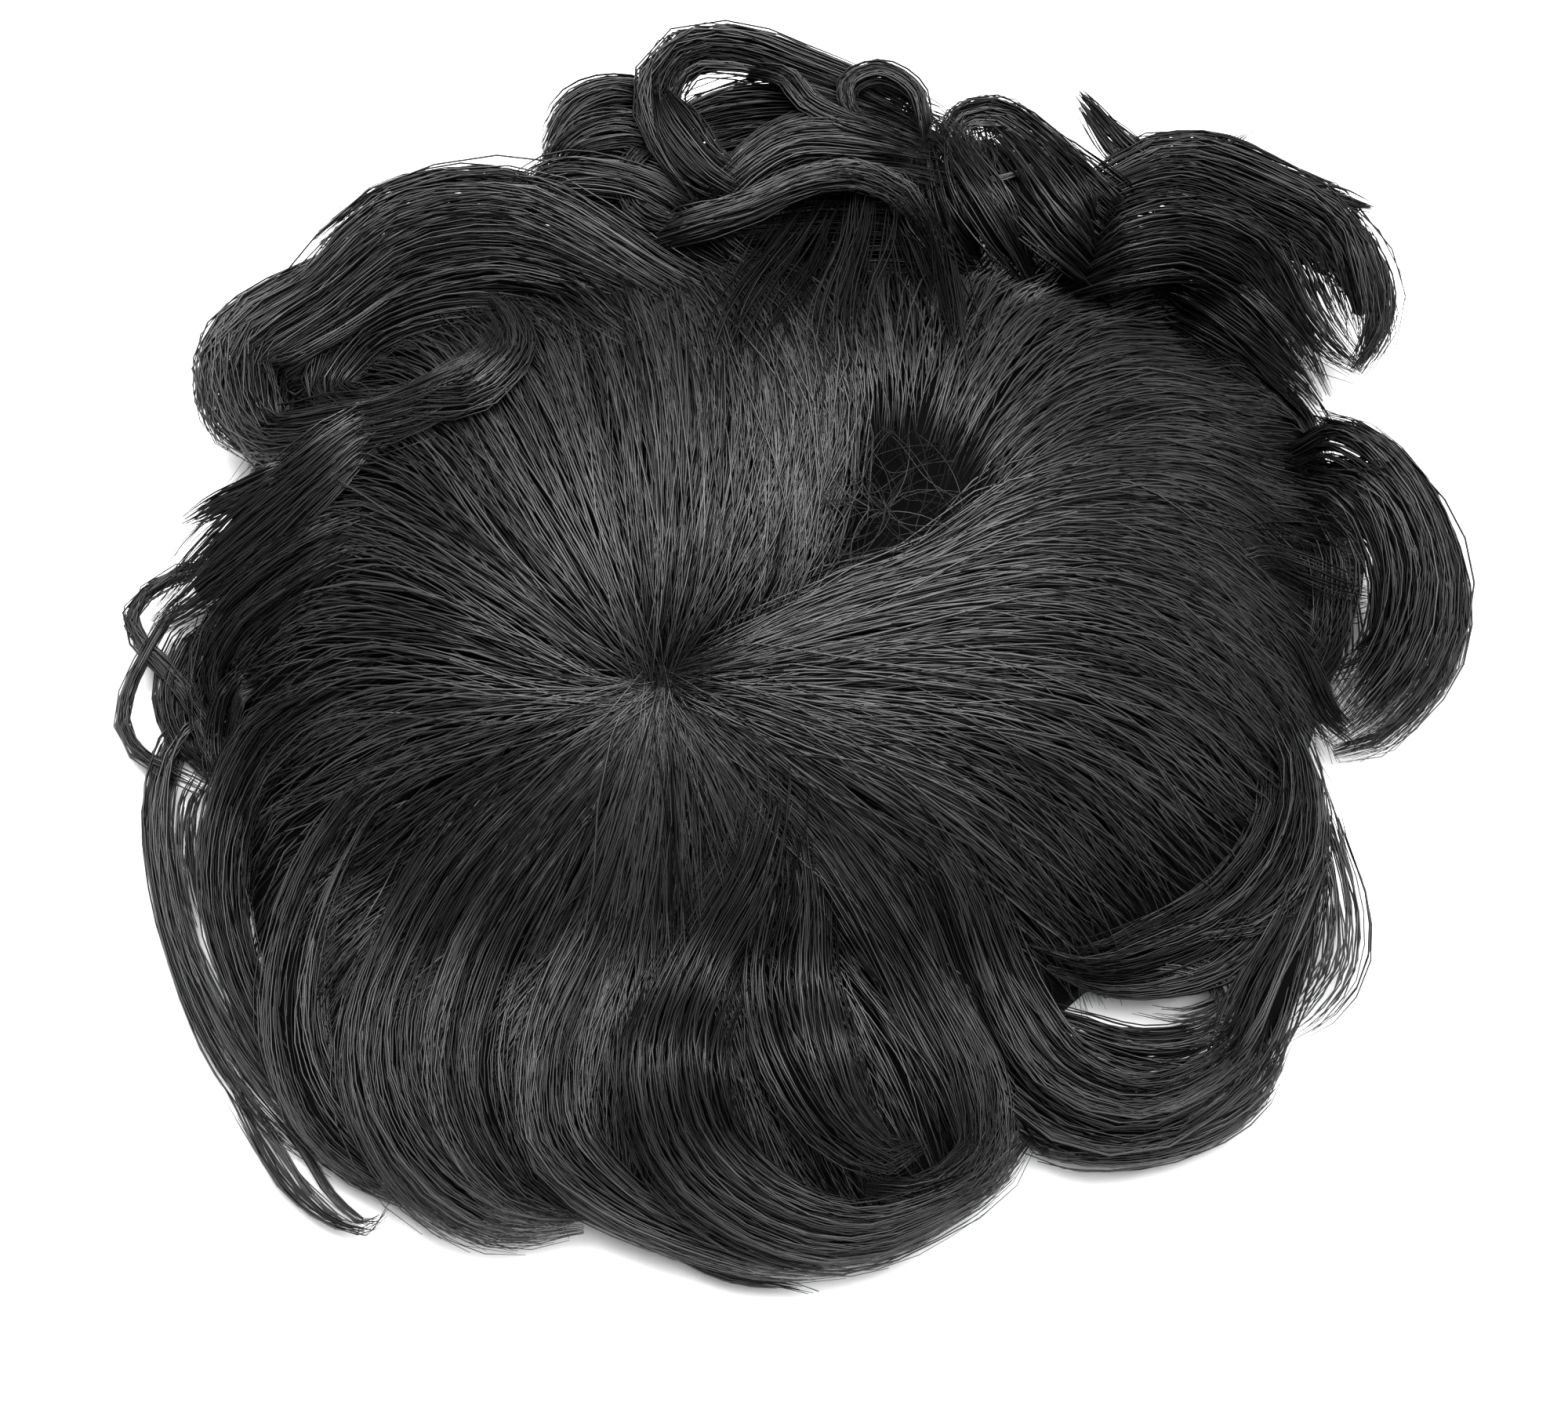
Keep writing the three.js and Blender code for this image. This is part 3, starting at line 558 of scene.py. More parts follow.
# The tresses of each lock: how many hairs, their tone, and the points that the tress runs through,
# read off the photograph. A point is its pixel across and down, the height of the tress's
# middle there in millimetres, or 0 on the hair, and its width in pixels.
# A tress's tone is partly painted light and shade: it is set low, down to 0, for the tresses that lie in
# shade, such as the dark fills under the arches and inside the curls, and higher for those that catch the
# light
LOCKS = (
    ("back_left_curl", (
        (340, 0.6, ((960, 440, 0, 90), (860, 370, 46, 130), (750, 315, 42, 165),
            (630, 292, 37, 195), (510, 318, 32, 190), (412, 394, 28, 140), (314, 470, 24, 138),
            (328, 548, 20, 104), (430, 545, 31, 90), (540, 515, 47, 85), (620, 470, 51, 70),
            (650, 415, 45, 45))),
        (180, 0.55, ((880, 480, 0, 70), (760, 420, 53, 100), (660, 385, 36, 120), (550, 390, 30, 125),
            (460, 430, 26, 110), (420, 485, 23, 80), (470, 520, 36, 60), (560, 490, 48, 50),
            (610, 440, 47, 30))),
        (80, 0.4, ((830, 330, 44, 70), (700, 252, 39, 60), (588, 226, 35, 46), (478, 250, 31, 46),
            (402, 308, 28, 40))),
        (60, 0.25, ((820, 318, 42, 60), (700, 272, 38, 60), (590, 248, 34, 56), (482, 272, 30, 54),
            (408, 330, 27, 44))),
        (90, 0.4, ((478, 300, 31, 44), (412, 345, 28, 46), (340, 385, 25, 48), (290, 425, 24, 48),
            (272, 480, 23, 48), (285, 540, 21, 46), (330, 580, 19, 34))),
        (90, 0.1, ((620, 420, 0, 140), (540, 395, 0, 180), (470, 375, 0, 200), (415, 355, 0, 180))),
        (100, 0.4, ((470, 490, 34, 60), (545, 512, 48, 64), (610, 502, 54, 60), (650, 465, 54, 54),
            (656, 415, 46, 46), (625, 382, 42, 40), (580, 385, 40, 25))),
    )),
    ("left_lock", (
        (240, 0.6, ((560, 500, 0, 50), (470, 545, 39, 80), (410, 600, 34, 105), (345, 660, 25, 135),
            (285, 715, 17, 140), (235, 760, 12, 100), (194, 794, 9, 50))),
        (100, 0.5, ((400, 580, 34, 60), (330, 620, 27, 54), (270, 650, 20, 40), (228, 672, 17, 14))),
        (130, 0.4, ((500, 640, 0, 80), (410, 700, 30, 110), (335, 760, 22, 120), (285, 812, 14, 100),
            (262, 862, 10, 70), (275, 925, 8, 40))),
    )),
    ("left_loop", (
        (60, 0.3, ((340, 670, 20, 40), (270, 702, 16, 34), (212, 736, 11, 26), (174, 766, 8, 20),
            (164, 792, 7, 20), (180, 820, 6, 22), (215, 855, 6, 28), (254, 905, 6, 34), (282, 955, 7, 32),
            (297, 1000, 8, 22))),
        (40, 0.2, ((230, 760, 11, 24), (188, 830, 7, 22), (164, 880, 5, 22), (156, 920, 4, 22),
            (174, 956, 4, 22), (225, 985, 5, 22), (285, 1015, 7, 14))),
        (70, 0.1, ((275, 760, 8, 50), (235, 830, 5, 60), (214, 890, 4, 52), (228, 945, 4, 40),
            (270, 985, 5, 24))),
    )),
    ("left_hang", (
        (80, 0.3, ((350, 840, 0, 40), (275, 890, 7, 44), (226, 940, 5, 48), (204, 1000, 5, 48),
            (200, 1060, 5, 48), (210, 1130, 5, 50), (242, 1240, 6, 56), (300, 1350, 5, 70),
            (372, 1440, 5, 70), (440, 1495, 5, 44))),
        (90, 0.1, ((330, 850, 0, 60), (296, 900, 6, 64), (288, 950, 6, 64), (306, 1010, 6, 44))),
        (60, 0.15, ((350, 780, 0, 60), (278, 840, 6, 70), (245, 900, 4, 74), (255, 960, 4, 56),
            (292, 1005, 6, 30))),
        (170, 0.3, ((500, 830, 0, 70), (410, 880, 0, 90), (330, 950, 15, 100), (288, 1040, 11, 84),
            (279, 1130, 9, 76), (300, 1230, 7, 64), (350, 1340, 6, 74), (425, 1440, 5, 66),
            (500, 1510, 5, 40))),
        (20, 0.3, ((262, 960, 6, 30), (240, 1040, 6, 34), (240, 1110, 6, 34), (262, 1200, 6, 24))),
        (16, 0.3, ((270, 1340, 6, 30), (325, 1450, 5, 14), (372, 1520, 4, 8), (425, 1562, 4, 7),
            (478, 1570, 4, 7), (497, 1540, 4, 5))),
        (14, 0.3, ((300, 1380, 6, 24), (350, 1460, 5, 8), (400, 1530, 4, 7), (450, 1563, 4, 6),
            (485, 1560, 4, 5))),
        (12, 0.3, ((340, 1400, 6, 24), (390, 1470, 5, 8), (430, 1530, 4, 7), (475, 1558, 4, 6),
            (499, 1525, 4, 5))),
    )),
    ("front_left_curl", (
        (260, 0.5, ((700, 940, 0, 60), (600, 1070, 0, 110), (530, 1190, 0, 125), (490, 1310, 0, 130),
            (500, 1410, 14, 130), (560, 1508, 10, 120), (650, 1562, 8, 90), (745, 1560, 8, 44))),
        (220, 0.5, ((770, 980, 0, 60), (690, 1110, 0, 105), (620, 1250, 0, 120), (598, 1380, 15, 120),
            (635, 1480, 11, 100), (705, 1540, 9, 60), (770, 1535, 8, 26))),
        (160, 0.5, ((540, 930, 0, 50), (440, 1060, 0, 90), (380, 1200, 0, 92), (372, 1330, 9, 96),
            (420, 1440, 8, 96), (500, 1510, 7, 60), (590, 1550, 7, 26))),
    )),
    ("front_curl", (
        (345, 0.55, ((900, 880, 0, 40), (975, 990, 0, 80), (960, 1110, 0, 110), (895, 1250, 0, 140),
            (866, 1370, 26, 150), (895, 1470, 16, 145), (975, 1540, 12, 120), (1090, 1572, 10, 94),
            (1200, 1538, 8, 70), (1268, 1498, 8, 54), (1312, 1448, 8, 26))),
        (260, 0.45, ((985, 1000, 0, 40), (1010, 1130, 0, 100), (1000, 1260, 0, 135), (1030, 1370, 22, 140),
            (1085, 1450, 15, 110), (1145, 1480, 12, 64), (1185, 1455, 11, 26))),
        (240, 0.5, ((1010, 1000, 0, 50), (1100, 1130, 0, 95), (1190, 1280, 0, 105), (1250, 1400, 14, 100),
            (1255, 1470, 11, 76), (1190, 1520, 9, 54), (1100, 1515, 9, 24))),
    )),
    ("front_low_lock", (
        (220, 0.5, ((820, 1040, 0, 60), (760, 1200, 0, 110), (705, 1350, 0, 112), (715, 1465, 14, 104),
            (790, 1536, 10, 70), (890, 1584, 8, 54), (1000, 1616, 7, 38), (1085, 1618, 6, 20))),
        (24, 0.3, ((760, 1500, 12, 30), (850, 1590, 6, 16), (940, 1630, 5, 10), (1010, 1638, 5, 8),
            (1055, 1652, 5, 5))),
    )),
    ("front_right_curl", (
        (280, 0.45, ((1120, 980, 0, 50), (1215, 1140, 0, 105), (1275, 1280, 0, 115), (1350, 1385, 13, 140),
            (1445, 1418, 11, 130), (1535, 1385, 10, 96), (1595, 1325, 9, 66), (1605, 1275, 9, 30))),
        (120, 0.35, ((1280, 1370, 0, 60), (1336, 1446, 8, 64), (1440, 1464, 7, 58), (1532, 1444, 7, 54),
            (1608, 1386, 7, 50), (1644, 1310, 7, 26))),
        (120, 0.3, ((1296, 1268, 0, 50), (1375, 1316, 10, 60), (1455, 1338, 10, 66), (1535, 1326, 9, 66),
            (1590, 1290, 9, 30))),
    )),
    ("right_wisp", (
        (150, 0.2, ((1600, 840, 0, 50), (1656, 950, 17, 66), (1674, 1050, 12, 70), (1656, 1130, 10, 80),
            (1600, 1185, 9, 70), (1510, 1200, 0, 50), (1430, 1218, 0, 30), (1390, 1245, 0, 10))),
        (150, 0.15, ((1680, 1090, 11, 60), (1652, 1180, 10, 84), (1618, 1260, 10, 96), (1590, 1330, 9, 96),
            (1555, 1390, 8, 60))),
        (30, 0.3, ((1672, 960, 14, 30), (1696, 1080, 10, 50), (1710, 1160, 7, 76), (1704, 1235, 6, 84),
            (1668, 1290, 6, 70), (1630, 1325, 7, 30))),
        (22, 0.35, ((1400, 1258, 7, 26), (1434, 1238, 8, 34), (1493, 1230, 9, 36), (1545, 1248, 8, 34),
            (1556, 1274, 7, 28), (1520, 1292, 7, 24), (1440, 1284, 7, 18))),
        (90, 0.0, ((1590, 860, 0, 60), (1640, 980, 0, 80), (1630, 1080, 0, 90), (1565, 1168, 0, 80),
            (1465, 1216, 0, 60), (1372, 1232, 0, 44), (1308, 1206, 0, 20))),
        (100, 0.05, ((1640, 1060, 0, 60), (1618, 1160, 10, 78), (1565, 1226, 9, 70), (1490, 1254, 8, 56),
            (1410, 1260, 8, 42), (1332, 1236, 8, 20))),
    )),
    ("right_curl", (
        (270, 0.35, ((1650, 560, 20, 60), (1722, 590, 28, 90), (1775, 655, 25, 104), (1805, 745, 21, 110),
            (1790, 836, 16, 108), (1740, 905, 12, 96), (1695, 940, 11, 60))),
        (120, 0.35, ((1672, 530, 22, 40), (1745, 556, 28, 44), (1800, 612, 26, 46), (1835, 682, 23, 46),
            (1853, 762, 19, 46), (1843, 836, 16, 46), (1800, 906, 13, 44), (1752, 948, 11, 40),
            (1698, 962, 11, 24))),
        (80, 0.05, ((1630, 565, 20, 60), (1700, 560, 24, 70), (1760, 596, 26, 60), (1800, 655, 24, 40))),
        (110, 0.0, ((1700, 620, 27, 60), (1750, 670, 24, 80), (1778, 745, 20, 80), (1765, 815, 15, 74),
            (1720, 860, 12, 50), (1690, 862, 11, 22))),
        (90, 0.05, ((1600, 780, 0, 56), (1650, 850, 0, 66), (1690, 915, 13, 60), (1735, 955, 10, 34))),
        (90, 0.0, ((1560, 700, 0, 120), (1640, 720, 0, 160), (1700, 735, 0, 170), (1752, 745, 0, 120))),
        (60, 0.0, ((1650, 630, 0, 100), (1705, 720, 9, 140), (1705, 800, 8, 140), (1670, 890, 8, 90))),
    )),
    ("back_right_curl", (
        (260, 0.15, ((1330, 290, 34, 60), (1420, 240, 33, 80), (1500, 215, 31, 110), (1620, 255, 28, 120),
            (1706, 304, 26, 110), (1736, 372, 23, 106), (1746, 424, 21, 86), (1728, 472, 20, 44))),
        (220, 0.1, ((1320, 360, 0, 60), (1420, 318, 36, 110), (1525, 300, 32, 140), (1612, 335, 27, 130),
            (1655, 400, 22, 90), (1700, 455, 19, 70), (1738, 478, 18, 30))),
        (170, 0.15, ((1390, 380, 0, 60), (1490, 370, 0, 110), (1580, 400, 24, 130), (1645, 455, 19, 110),
            (1690, 515, 16, 50))),
        (120, 0.1, ((1380, 270, 34, 70), (1480, 240, 31, 110), (1590, 262, 28, 120), (1680, 300, 25, 100),
            (1735, 360, 23, 60), (1745, 420, 21, 30))),
        (100, 0.15, ((1405, 225, 32, 40), (1455, 192, 31, 44), (1552, 190, 30, 46), (1637, 228, 28, 48),
            (1715, 266, 26, 46), (1750, 310, 25, 26))),
        (90, 0.1, ((1690, 262, 27, 40), (1742, 318, 25, 46), (1764, 380, 23, 44), (1756, 430, 21, 40),
            (1726, 472, 20, 26))),
        (50, 0.2, ((1470, 250, 32, 66), (1550, 205, 30, 60), (1602, 165, 29, 14))),
        (60, 0.2, ((1610, 270, 29, 70), (1695, 258, 27, 50), (1760, 268, 26, 10))),
        (90, 0.15, ((1490, 235, 31, 70), (1428, 186, 31, 60), (1370, 120, 31, 26))),
        (110, 0.1, ((1400, 330, 0, 60), (1490, 390, 0, 80), (1580, 460, 0, 90), (1650, 520, 0, 80),
            (1695, 590, 14, 40))),
    )),
    ("back_right_lock", (
        (220, 0.25, ((1440, 370, 0, 60), (1365, 290, 37, 115), (1290, 212, 34, 120), (1230, 150, 32, 60))),
        (170, 0.3, ((1340, 370, 0, 60), (1275, 280, 37, 95), (1225, 205, 35, 90), (1200, 150, 34, 44))),
        (170, 0.25, ((1490, 350, 0, 60), (1410, 265, 34, 100), (1345, 210, 33, 84), (1280, 155, 32, 34))),
        (14, 0.5, ((1350, 160, 34, 8), (1335, 200, 36, 8), (1290, 224, 37, 8), (1240, 234, 38, 6))),
        (130, 0.3, ((1210, 210, 34, 44), (1222, 150, 35, 44), (1270, 142, 35, 54), (1325, 175, 34, 56),
            (1380, 225, 33, 50), (1430, 280, 32, 40))),
        (160, 0.2, ((1270, 350, 0, 110), (1220, 285, 34, 130), (1190, 220, 34, 125), (1182, 145, 35, 90))),
        (100, 0.1, ((1330, 330, 30, 100), (1285, 250, 30, 130), (1262, 195, 30, 120), (1252, 160, 30, 96),
            (1250, 140, 30, 70))),
    )),
    ("back_curl", (
        (200, 0.3, ((905, 250, 43, 50), (864, 190, 44, 62), (842, 114, 45, 70), (876, 70, 45, 74),
            (950, 66, 45, 74), (1020, 88, 45, 68), (1090, 114, 44, 62), (1150, 140, 42, 54),
            (1205, 180, 40, 26))),
        (90, 0.2, ((850, 150, 45, 36), (846, 98, 45, 38), (866, 70, 45, 40), (905, 58, 45, 40),
            (960, 66, 45, 40), (1018, 88, 45, 38), (1080, 108, 44, 36), (1150, 138, 43, 30))),
        (130, 0.3, ((838, 112, 46, 26), (862, 165, 46, 62), (900, 212, 45, 62), (960, 245, 43, 40))),
        (160, 0.35, ((905, 258, 43, 46), (950, 212, 44, 60), (1005, 178, 45, 66), (1100, 172, 44, 66),
            (1190, 196, 42, 30))),
        (90, 0.35, ((950, 85, 47, 20), (1005, 100, 48, 34), (1030, 130, 48, 38), (1070, 150, 47, 40),
            (1140, 170, 46, 22))),
        (90, 0.3, ((1185, 178, 45, 16), (1168, 115, 47, 32), (1118, 92, 48, 36), (1082, 112, 48, 32),
            (1088, 142, 47, 26), (1122, 156, 46, 12))),
        (110, 0.1, ((800, 215, 37, 60), (870, 165, 38, 130), (950, 140, 38, 140), (1040, 135, 38, 130),
            (1130, 150, 37, 120), (1195, 175, 36, 110), (1240, 230, 36, 60))),
        (60, 0.05, ((850, 205, 38, 50), (910, 190, 38, 64), (980, 170, 38, 64), (1060, 160, 38, 40))),
        (60, 0.15, ((840, 170, 40, 40), (900, 136, 40, 46), (960, 122, 40, 46), (1040, 122, 40, 40))),
    )),
    ("back_arch", (
        (170, 0.4, ((790, 320, 16, 50), (870, 287, 43, 46), (950, 264, 44, 46), (1022, 230, 45, 48),
            (1095, 220, 44, 54), (1155, 245, 42, 48), (1190, 292, 40, 24))),
        (70, 0.35, ((840, 178, 43, 22), (806, 206, 42, 30), (802, 252, 41, 34), (838, 282, 41, 34),
            (900, 284, 42, 22))),
        (120, 0.05, ((810, 255, 37, 60), (920, 232, 38, 80), (1030, 206, 38, 84), (1140, 205, 37, 94),
            (1260, 235, 36, 80))),
        (100, 0.0, ((870, 275, 32, 70), (960, 255, 32, 90), (1050, 240, 32, 100), (1140, 240, 32, 100),
            (1240, 262, 32, 80))),
        (110, 0.0, ((830, 310, 30, 60), (950, 288, 30, 90), (1050, 270, 30, 100), (1150, 268, 30, 110),
            (1270, 290, 30, 90))),
        (100, 0.0, ((840, 345, 28, 60), (960, 334, 28, 100), (1070, 328, 28, 110), (1170, 326, 28, 110),
            (1280, 345, 28, 60))),
        (70, 0.1, ((930, 510, 0, 130), (965, 400, 0, 130), (1010, 310, 40, 120), (1060, 225, 36, 100))),
        (70, 0.1, ((1070, 510, 0, 130), (1080, 400, 0, 130), (1090, 310, 40, 120), (1095, 220, 36, 100))),
        (70, 0.1, ((1210, 500, 0, 120), (1190, 395, 0, 120), (1165, 310, 40, 110), (1140, 225, 36, 90))),
    )),
    ("back_left_loop", (
        (90, 0.3, ((845, 118, 41, 40), (780, 112, 41, 50), (726, 140, 40, 50), (700, 186, 39, 40),
            (690, 230, 38, 18))),
        (150, 0.3, ((870, 190, 40, 60), (800, 170, 40, 84), (740, 185, 39, 84), (696, 228, 38, 44))),
        (140, 0.3, ((890, 270, 40, 70), (800, 235, 40, 84), (720, 232, 39, 90), (645, 265, 38, 56))),
        (110, 0.1, ((860, 140, 36, 60), (800, 132, 36, 80), (745, 152, 36, 94), (712, 202, 36, 70))),
        (100, 0.05, ((740, 205, 34, 80), (820, 222, 34, 100), (900, 235, 34, 100), (970, 240, 34, 70))),
        (110, 0.2, ((650, 265, 36, 60), (740, 250, 36, 95), (820, 268, 36, 105), (900, 308, 36, 95),
            (970, 350, 0, 60))),
    )),
)
SIGHT_HEIGHTS = np.arange(64, 0, -0.25)
LOCK_LIFT = 1.5
LOCK_THICKNESS = 0.8
# Steps of a tress's hairs: a step's length and its turn, and the fewest and the most
HAIR_STEP = 8
HAIR_TURN = math.radians(20)
LOCK_STEPS = (9, 20)
# Clumps of a tress: how many hairs they hold, how far out they lie, where they end, how they
# twist and sway, and how far their tones differ
CLUMP_HAIRS = 8
CLUMP_FEWEST_HAIRS = 3
FEWEST_CLUMPS = 10
CLUMP_REACH = 0.8
CLUMP_ENDS = (0.78, 1.0)
LOCK_TWIST = 0.7
LOCK_SWAY = 0.08
LOCK_SWAY_PACE = 7
LOCK_TONE_SPREAD = 0.2
# Single hairs of a tress: their places in the clump, their ends, waves and tones, the tones
# darkened by painted shade away from the clump's middle, and the few that stray
OWN_SPREAD = 0.16
OWN_LIMIT = 0.3
OWN_PAINTED_SHADE = 4
TIP_SCATTER = 0.05
TIP_LIMITS = (0.55, 1.0)
LOCK_WAVES = (0.1, 0.6)
LOCK_WAVELENGTHS = (35, 80)
LOCK_STRAYS = 10
LOCK_TONE = (0.15, 0.15)
# A tress that starts this near the hair is rooted in it. Shares of its length where its last hairs
# start and where it has risen clear, its least widths along it, and its depth in the hair.
ROOTED_WITHIN = 8
ROOTED_START = 0.3
ROOTED_RISE = 0.3
ROOTED_DEPTH = 0.8
ROOTED_SPREAD = 1.2
FREE_START = 0.15
LEAST_WIDTH_AT = (0, 0.3, 0.85, 1)
ROOTED_LEAST_WIDTH = (0.95, 0.5, 0.3, 0.2)
FREE_LEAST_WIDTH = (0.4, 0.5, 0.3, 0.2)
# How tight a bend the inside of a tress may reach, how its hairs are layered over the hair under
# it, and how fast they come up from their roots
TIGHTEST_BEND = 0.8
LOCK_CLEARANCE = 0.6
LOCK_LAYERS = 0.8
LOCK_ROOT_SINK = 6
# Dense middles, in the tresses with this many hairs or more that are this wide or wider. They take
# the under hair's painted shade, so the gaps between the hairs show dark.
CORE_HAIRS = 100
CORE_WIDTH = 12
CORE_SHARE = 0.6
CORE_SUNK = 0.45
CORE_SPAN = (0.25, 0.85)
CORE_STATIONS = 16
CORE_SIDES = 8
CORE_TIP = 0.05


def seen_at(pixel, height):
    """Points in plan that the camera sees at pixels of the photograph, at heights over the table."""
    offset = (pixel - PICTURE_MIDDLE) * (1, -1) * VIEW_FIELD / PICTURE_WIDTH / VIEW_DISTANCE
    right = offset[..., 0]
    up = offset[..., 1]
    sine = math.sin(VIEW_ELEVATION)
    cosine = math.cos(VIEW_ELEVATION)
    depth = (VIEW_DISTANCE / MM * sine - height) / (sine - cosine * up)
    back = depth * (cosine + up * sine) - VIEW_DISTANCE / MM * cosine
    return np.stack((VIEW_TARGET[0] / MM + depth * right, VIEW_TARGET[1] / MM + back), axis=-1)


def placed(points):
    """A tress's points in millimetres: place in plan, height and width. A point that would be
    inside the hair lies on it instead, where the line of sight meets it."""
    points = np.array(points, dtype=float)
    pixel = points[:, :2]
    height = points[:, 2]
    on_hair = hair_top(seen_at(pixel[:, None], SIGHT_HEIGHTS[None])) >= SIGHT_HEIGHTS
    met = SIGHT_HEIGHTS[np.argmax(on_hair, axis=1)] + LOCK_LIFT
    inside = hair_top(seen_at(pixel, height)) + LOCK_LIFT > height
    height = np.where(inside, met, height)
    width = points[:, 3] * VIEW_FIELD / PICTURE_WIDTH / MM
    return np.column_stack((seen_at(pixel, height), height, width))


def lock_line(points):
    """Stations every millimetre along a tress: distance, place, height, width and heading."""
    points = placed(points)
    steps = np.linalg.norm(np.diff(points[:, :3], axis=0), axis=1)
    chord = np.concatenate(([0], np.cumsum(steps)))
    slope = np.gradient(points, chord, axis=0)
    at = np.arange(0, chord[-1], 1.0)
    k = np.clip(np.searchsorted(chord, at, side="right") - 1, 0, len(chord) - 2)
    span = (chord[k + 1] - chord[k])[:, None]
    t = (at - chord[k])[:, None] / span
    line = (2 * t ** 3 - 3 * t ** 2 + 1) * points[k] + (3 * t ** 2 - 2 * t ** 3) * points[k + 1]
    line = line + span * ((t ** 3 - 2 * t ** 2 + t) * slope[k] + (t ** 3 - t ** 2) * slope[k + 1])
    turned = np.gradient(line[:, :2], axis=0)
    heading = np.unwrap(np.arctan2(turned[:, 1], turned[:, 0]))
    return np.column_stack((at, line, heading))


def lock_hairs(count, tone, line):
    """Paths of the hairs of a tress, clump by clump, and their tones. A tress that starts on the
    dome grows out of the hair there, from roots spread wider than itself."""
    length = line[-1, 0]
    widest = line[:, 4].max()
    turning = np.abs(np.diff(line[:, 5])).sum()
    steps = int(np.clip(max(length / HAIR_STEP, turning / HAIR_TURN), *LOCK_STEPS))
    rooted = line[0, 3] < hair_top(line[0, 1:3]) + ROOTED_WITHIN
    clumps = max(count // CLUMP_HAIRS, min(count // CLUMP_FEWEST_HAIRS, FEWEST_CLUMPS))
    turn = rng.uniform(0, 2 * math.pi, clumps)
    radius = CLUMP_REACH * np.sqrt(rng.uniform(0, 1, clumps))
    clump_end = rng.uniform(*CLUMP_ENDS, clumps)
    tones = tone + rng.uniform(-LOCK_TONE_SPREAD, LOCK_TONE_SPREAD, clumps)
    sway = rng.uniform(0, 2 * math.pi, clumps)[:, None]
    clump = rng.integers(clumps, size=count)
    loose = rng.uniform(0, 1, count)[:, None] ** LOCK_STRAYS
    wave = rng.uniform(*LOCK_WAVES, count)[:, None] + loose
    pace = 2 * math.pi / rng.uniform(*LOCK_WAVELENGTHS, count)[:, None]
    phase = rng.uniform(0, 2 * math.pi, count)[:, None]
    own = np.clip(rng.normal(0, OWN_SPREAD, (2, count, 1)), -OWN_LIMIT, OWN_LIMIT)
    root = length * rng.uniform(0.0, ROOTED_START if rooted else FREE_START, count)
    tip = length * np.clip(clump_end[clump] + rng.normal(0, TIP_SCATTER, count), *TIP_LIMITS)
    at = root[:, None] + (tip - root)[:, None] * np.linspace(0, 1, steps)
    x, y, middle, wide, heading = (np.interp(at, line[:, 0], line[:, k]) for k in range(1, 6))
    gone = at / length
    least_width = np.interp(gone, LEAST_WIDTH_AT, ROOTED_LEAST_WIDTH if rooted else FREE_LEAST_WIDTH)
    wide = np.maximum(wide, widest * least_width)

    # Place across the tress, drawn in on the inside of a tight bend
    roll = turn[clump][:, None] + LOCK_TWIST * gone
    across = radius[clump][:, None] * np.cos(roll) + own[0]
    over = radius[clump][:, None] * np.sin(roll) + own[1]
    across = across + LOCK_SWAY * np.sin(gone * LOCK_SWAY_PACE + sway[clump])
    bend = np.interp(at, line[:, 0], np.gradient(line[:, 5], line[:, 0]))
    across = across / np.maximum(1, np.sign(across) * bend * wide / 2 / TIGHTEST_BEND) * wide / 2
    across = across + wave * np.sin(pace * at + phase)
    plan = np.stack((x - np.sin(heading) * across, y + np.cos(heading) * across), axis=-1)

    # Height, kept over the hair under the tress
    top = hair_top(plan)
    over_hair = top + LOCK_CLEARANCE + LOCK_LAYERS * (over + 1)
    height = np.maximum(middle + over * LOCK_THICKNESS * wide / 2, over_hair)
    if rooted:
        risen = np.clip(gone / ROOTED_RISE, 0, 1)
        risen = risen * risen * (3 - 2 * risen)
        height = (1 - risen) * (top - ROOTED_DEPTH + ROOTED_SPREAD * over) + risen * height
    height = height - np.exp(-LOCK_ROOT_SINK * np.linspace(0, 1, steps))
    paths = np.concatenate((plan, np.maximum(height, LOWEST_HAIR)[..., None]), axis=2)
    off_middle = np.hypot(own[0], own[1])[:, 0]
    # Tones differ at random by clump and hair, and painted shade makes them darker away from a clump's
    # middle
    tones = tones[clump] + rng.normal(*LOCK_TONE, count) - OWN_PAINTED_SHADE * off_middle ** 2
    return paths, np.clip(tones, 0, 1)


def add_core(shape, line):
    """Adds the dense middle of a tress: a tube along it, low inside its hairs."""
    at = np.linspace(*CORE_SPAN, CORE_STATIONS) * line[-1, 0]
    stations = [np.interp(at, line[:, 0], line[:, k]) for k in range(1, 6)]
    last = CORE_STATIONS - 1
    tube = bmesh.new()
    bmesh.ops.create_cone(tube, cap_ends=True, segments=CORE_SIDES, radius1=1, radius2=1, depth=1)
    long_edges = [e for e in tube.edges if abs(e.verts[0].co.z - e.verts[1].co.z) > 0.5]
    bmesh.ops.subdivide_edges(tube, edges=long_edges, cuts=last - 1)
    for corner in tube.verts:
        k = round((corner.co.z + 0.5) * last)
        x, y, middle, wide, heading = (s[k] for s in stations)
        ends = math.sqrt(math.sin(math.pi * min(1 - CORE_TIP, max(CORE_TIP, k / last))))
        size = CORE_SHARE * wide / 2 * ends
        low = middle - CORE_SUNK * LOCK_THICKNESS * wide / 2
        corner.co = (
            (x - math.sin(heading) * corner.co.x * size) * MM,
            (y + math.cos(heading) * corner.co.x * size) * MM,
            max(low + corner.co.y * size * LOCK_THICKNESS, FLOOR_CLEARANCE) * MM,
        )
    bmesh.ops.recalc_face_normals(tube, faces=tube.faces)
    tube_mesh = bpy.data.meshes.new("tube")
    tube.to_mesh(tube_mesh)
    tube.free()
    shape.from_mesh(tube_mesh)
    bpy.data.meshes.remove(tube_mesh)


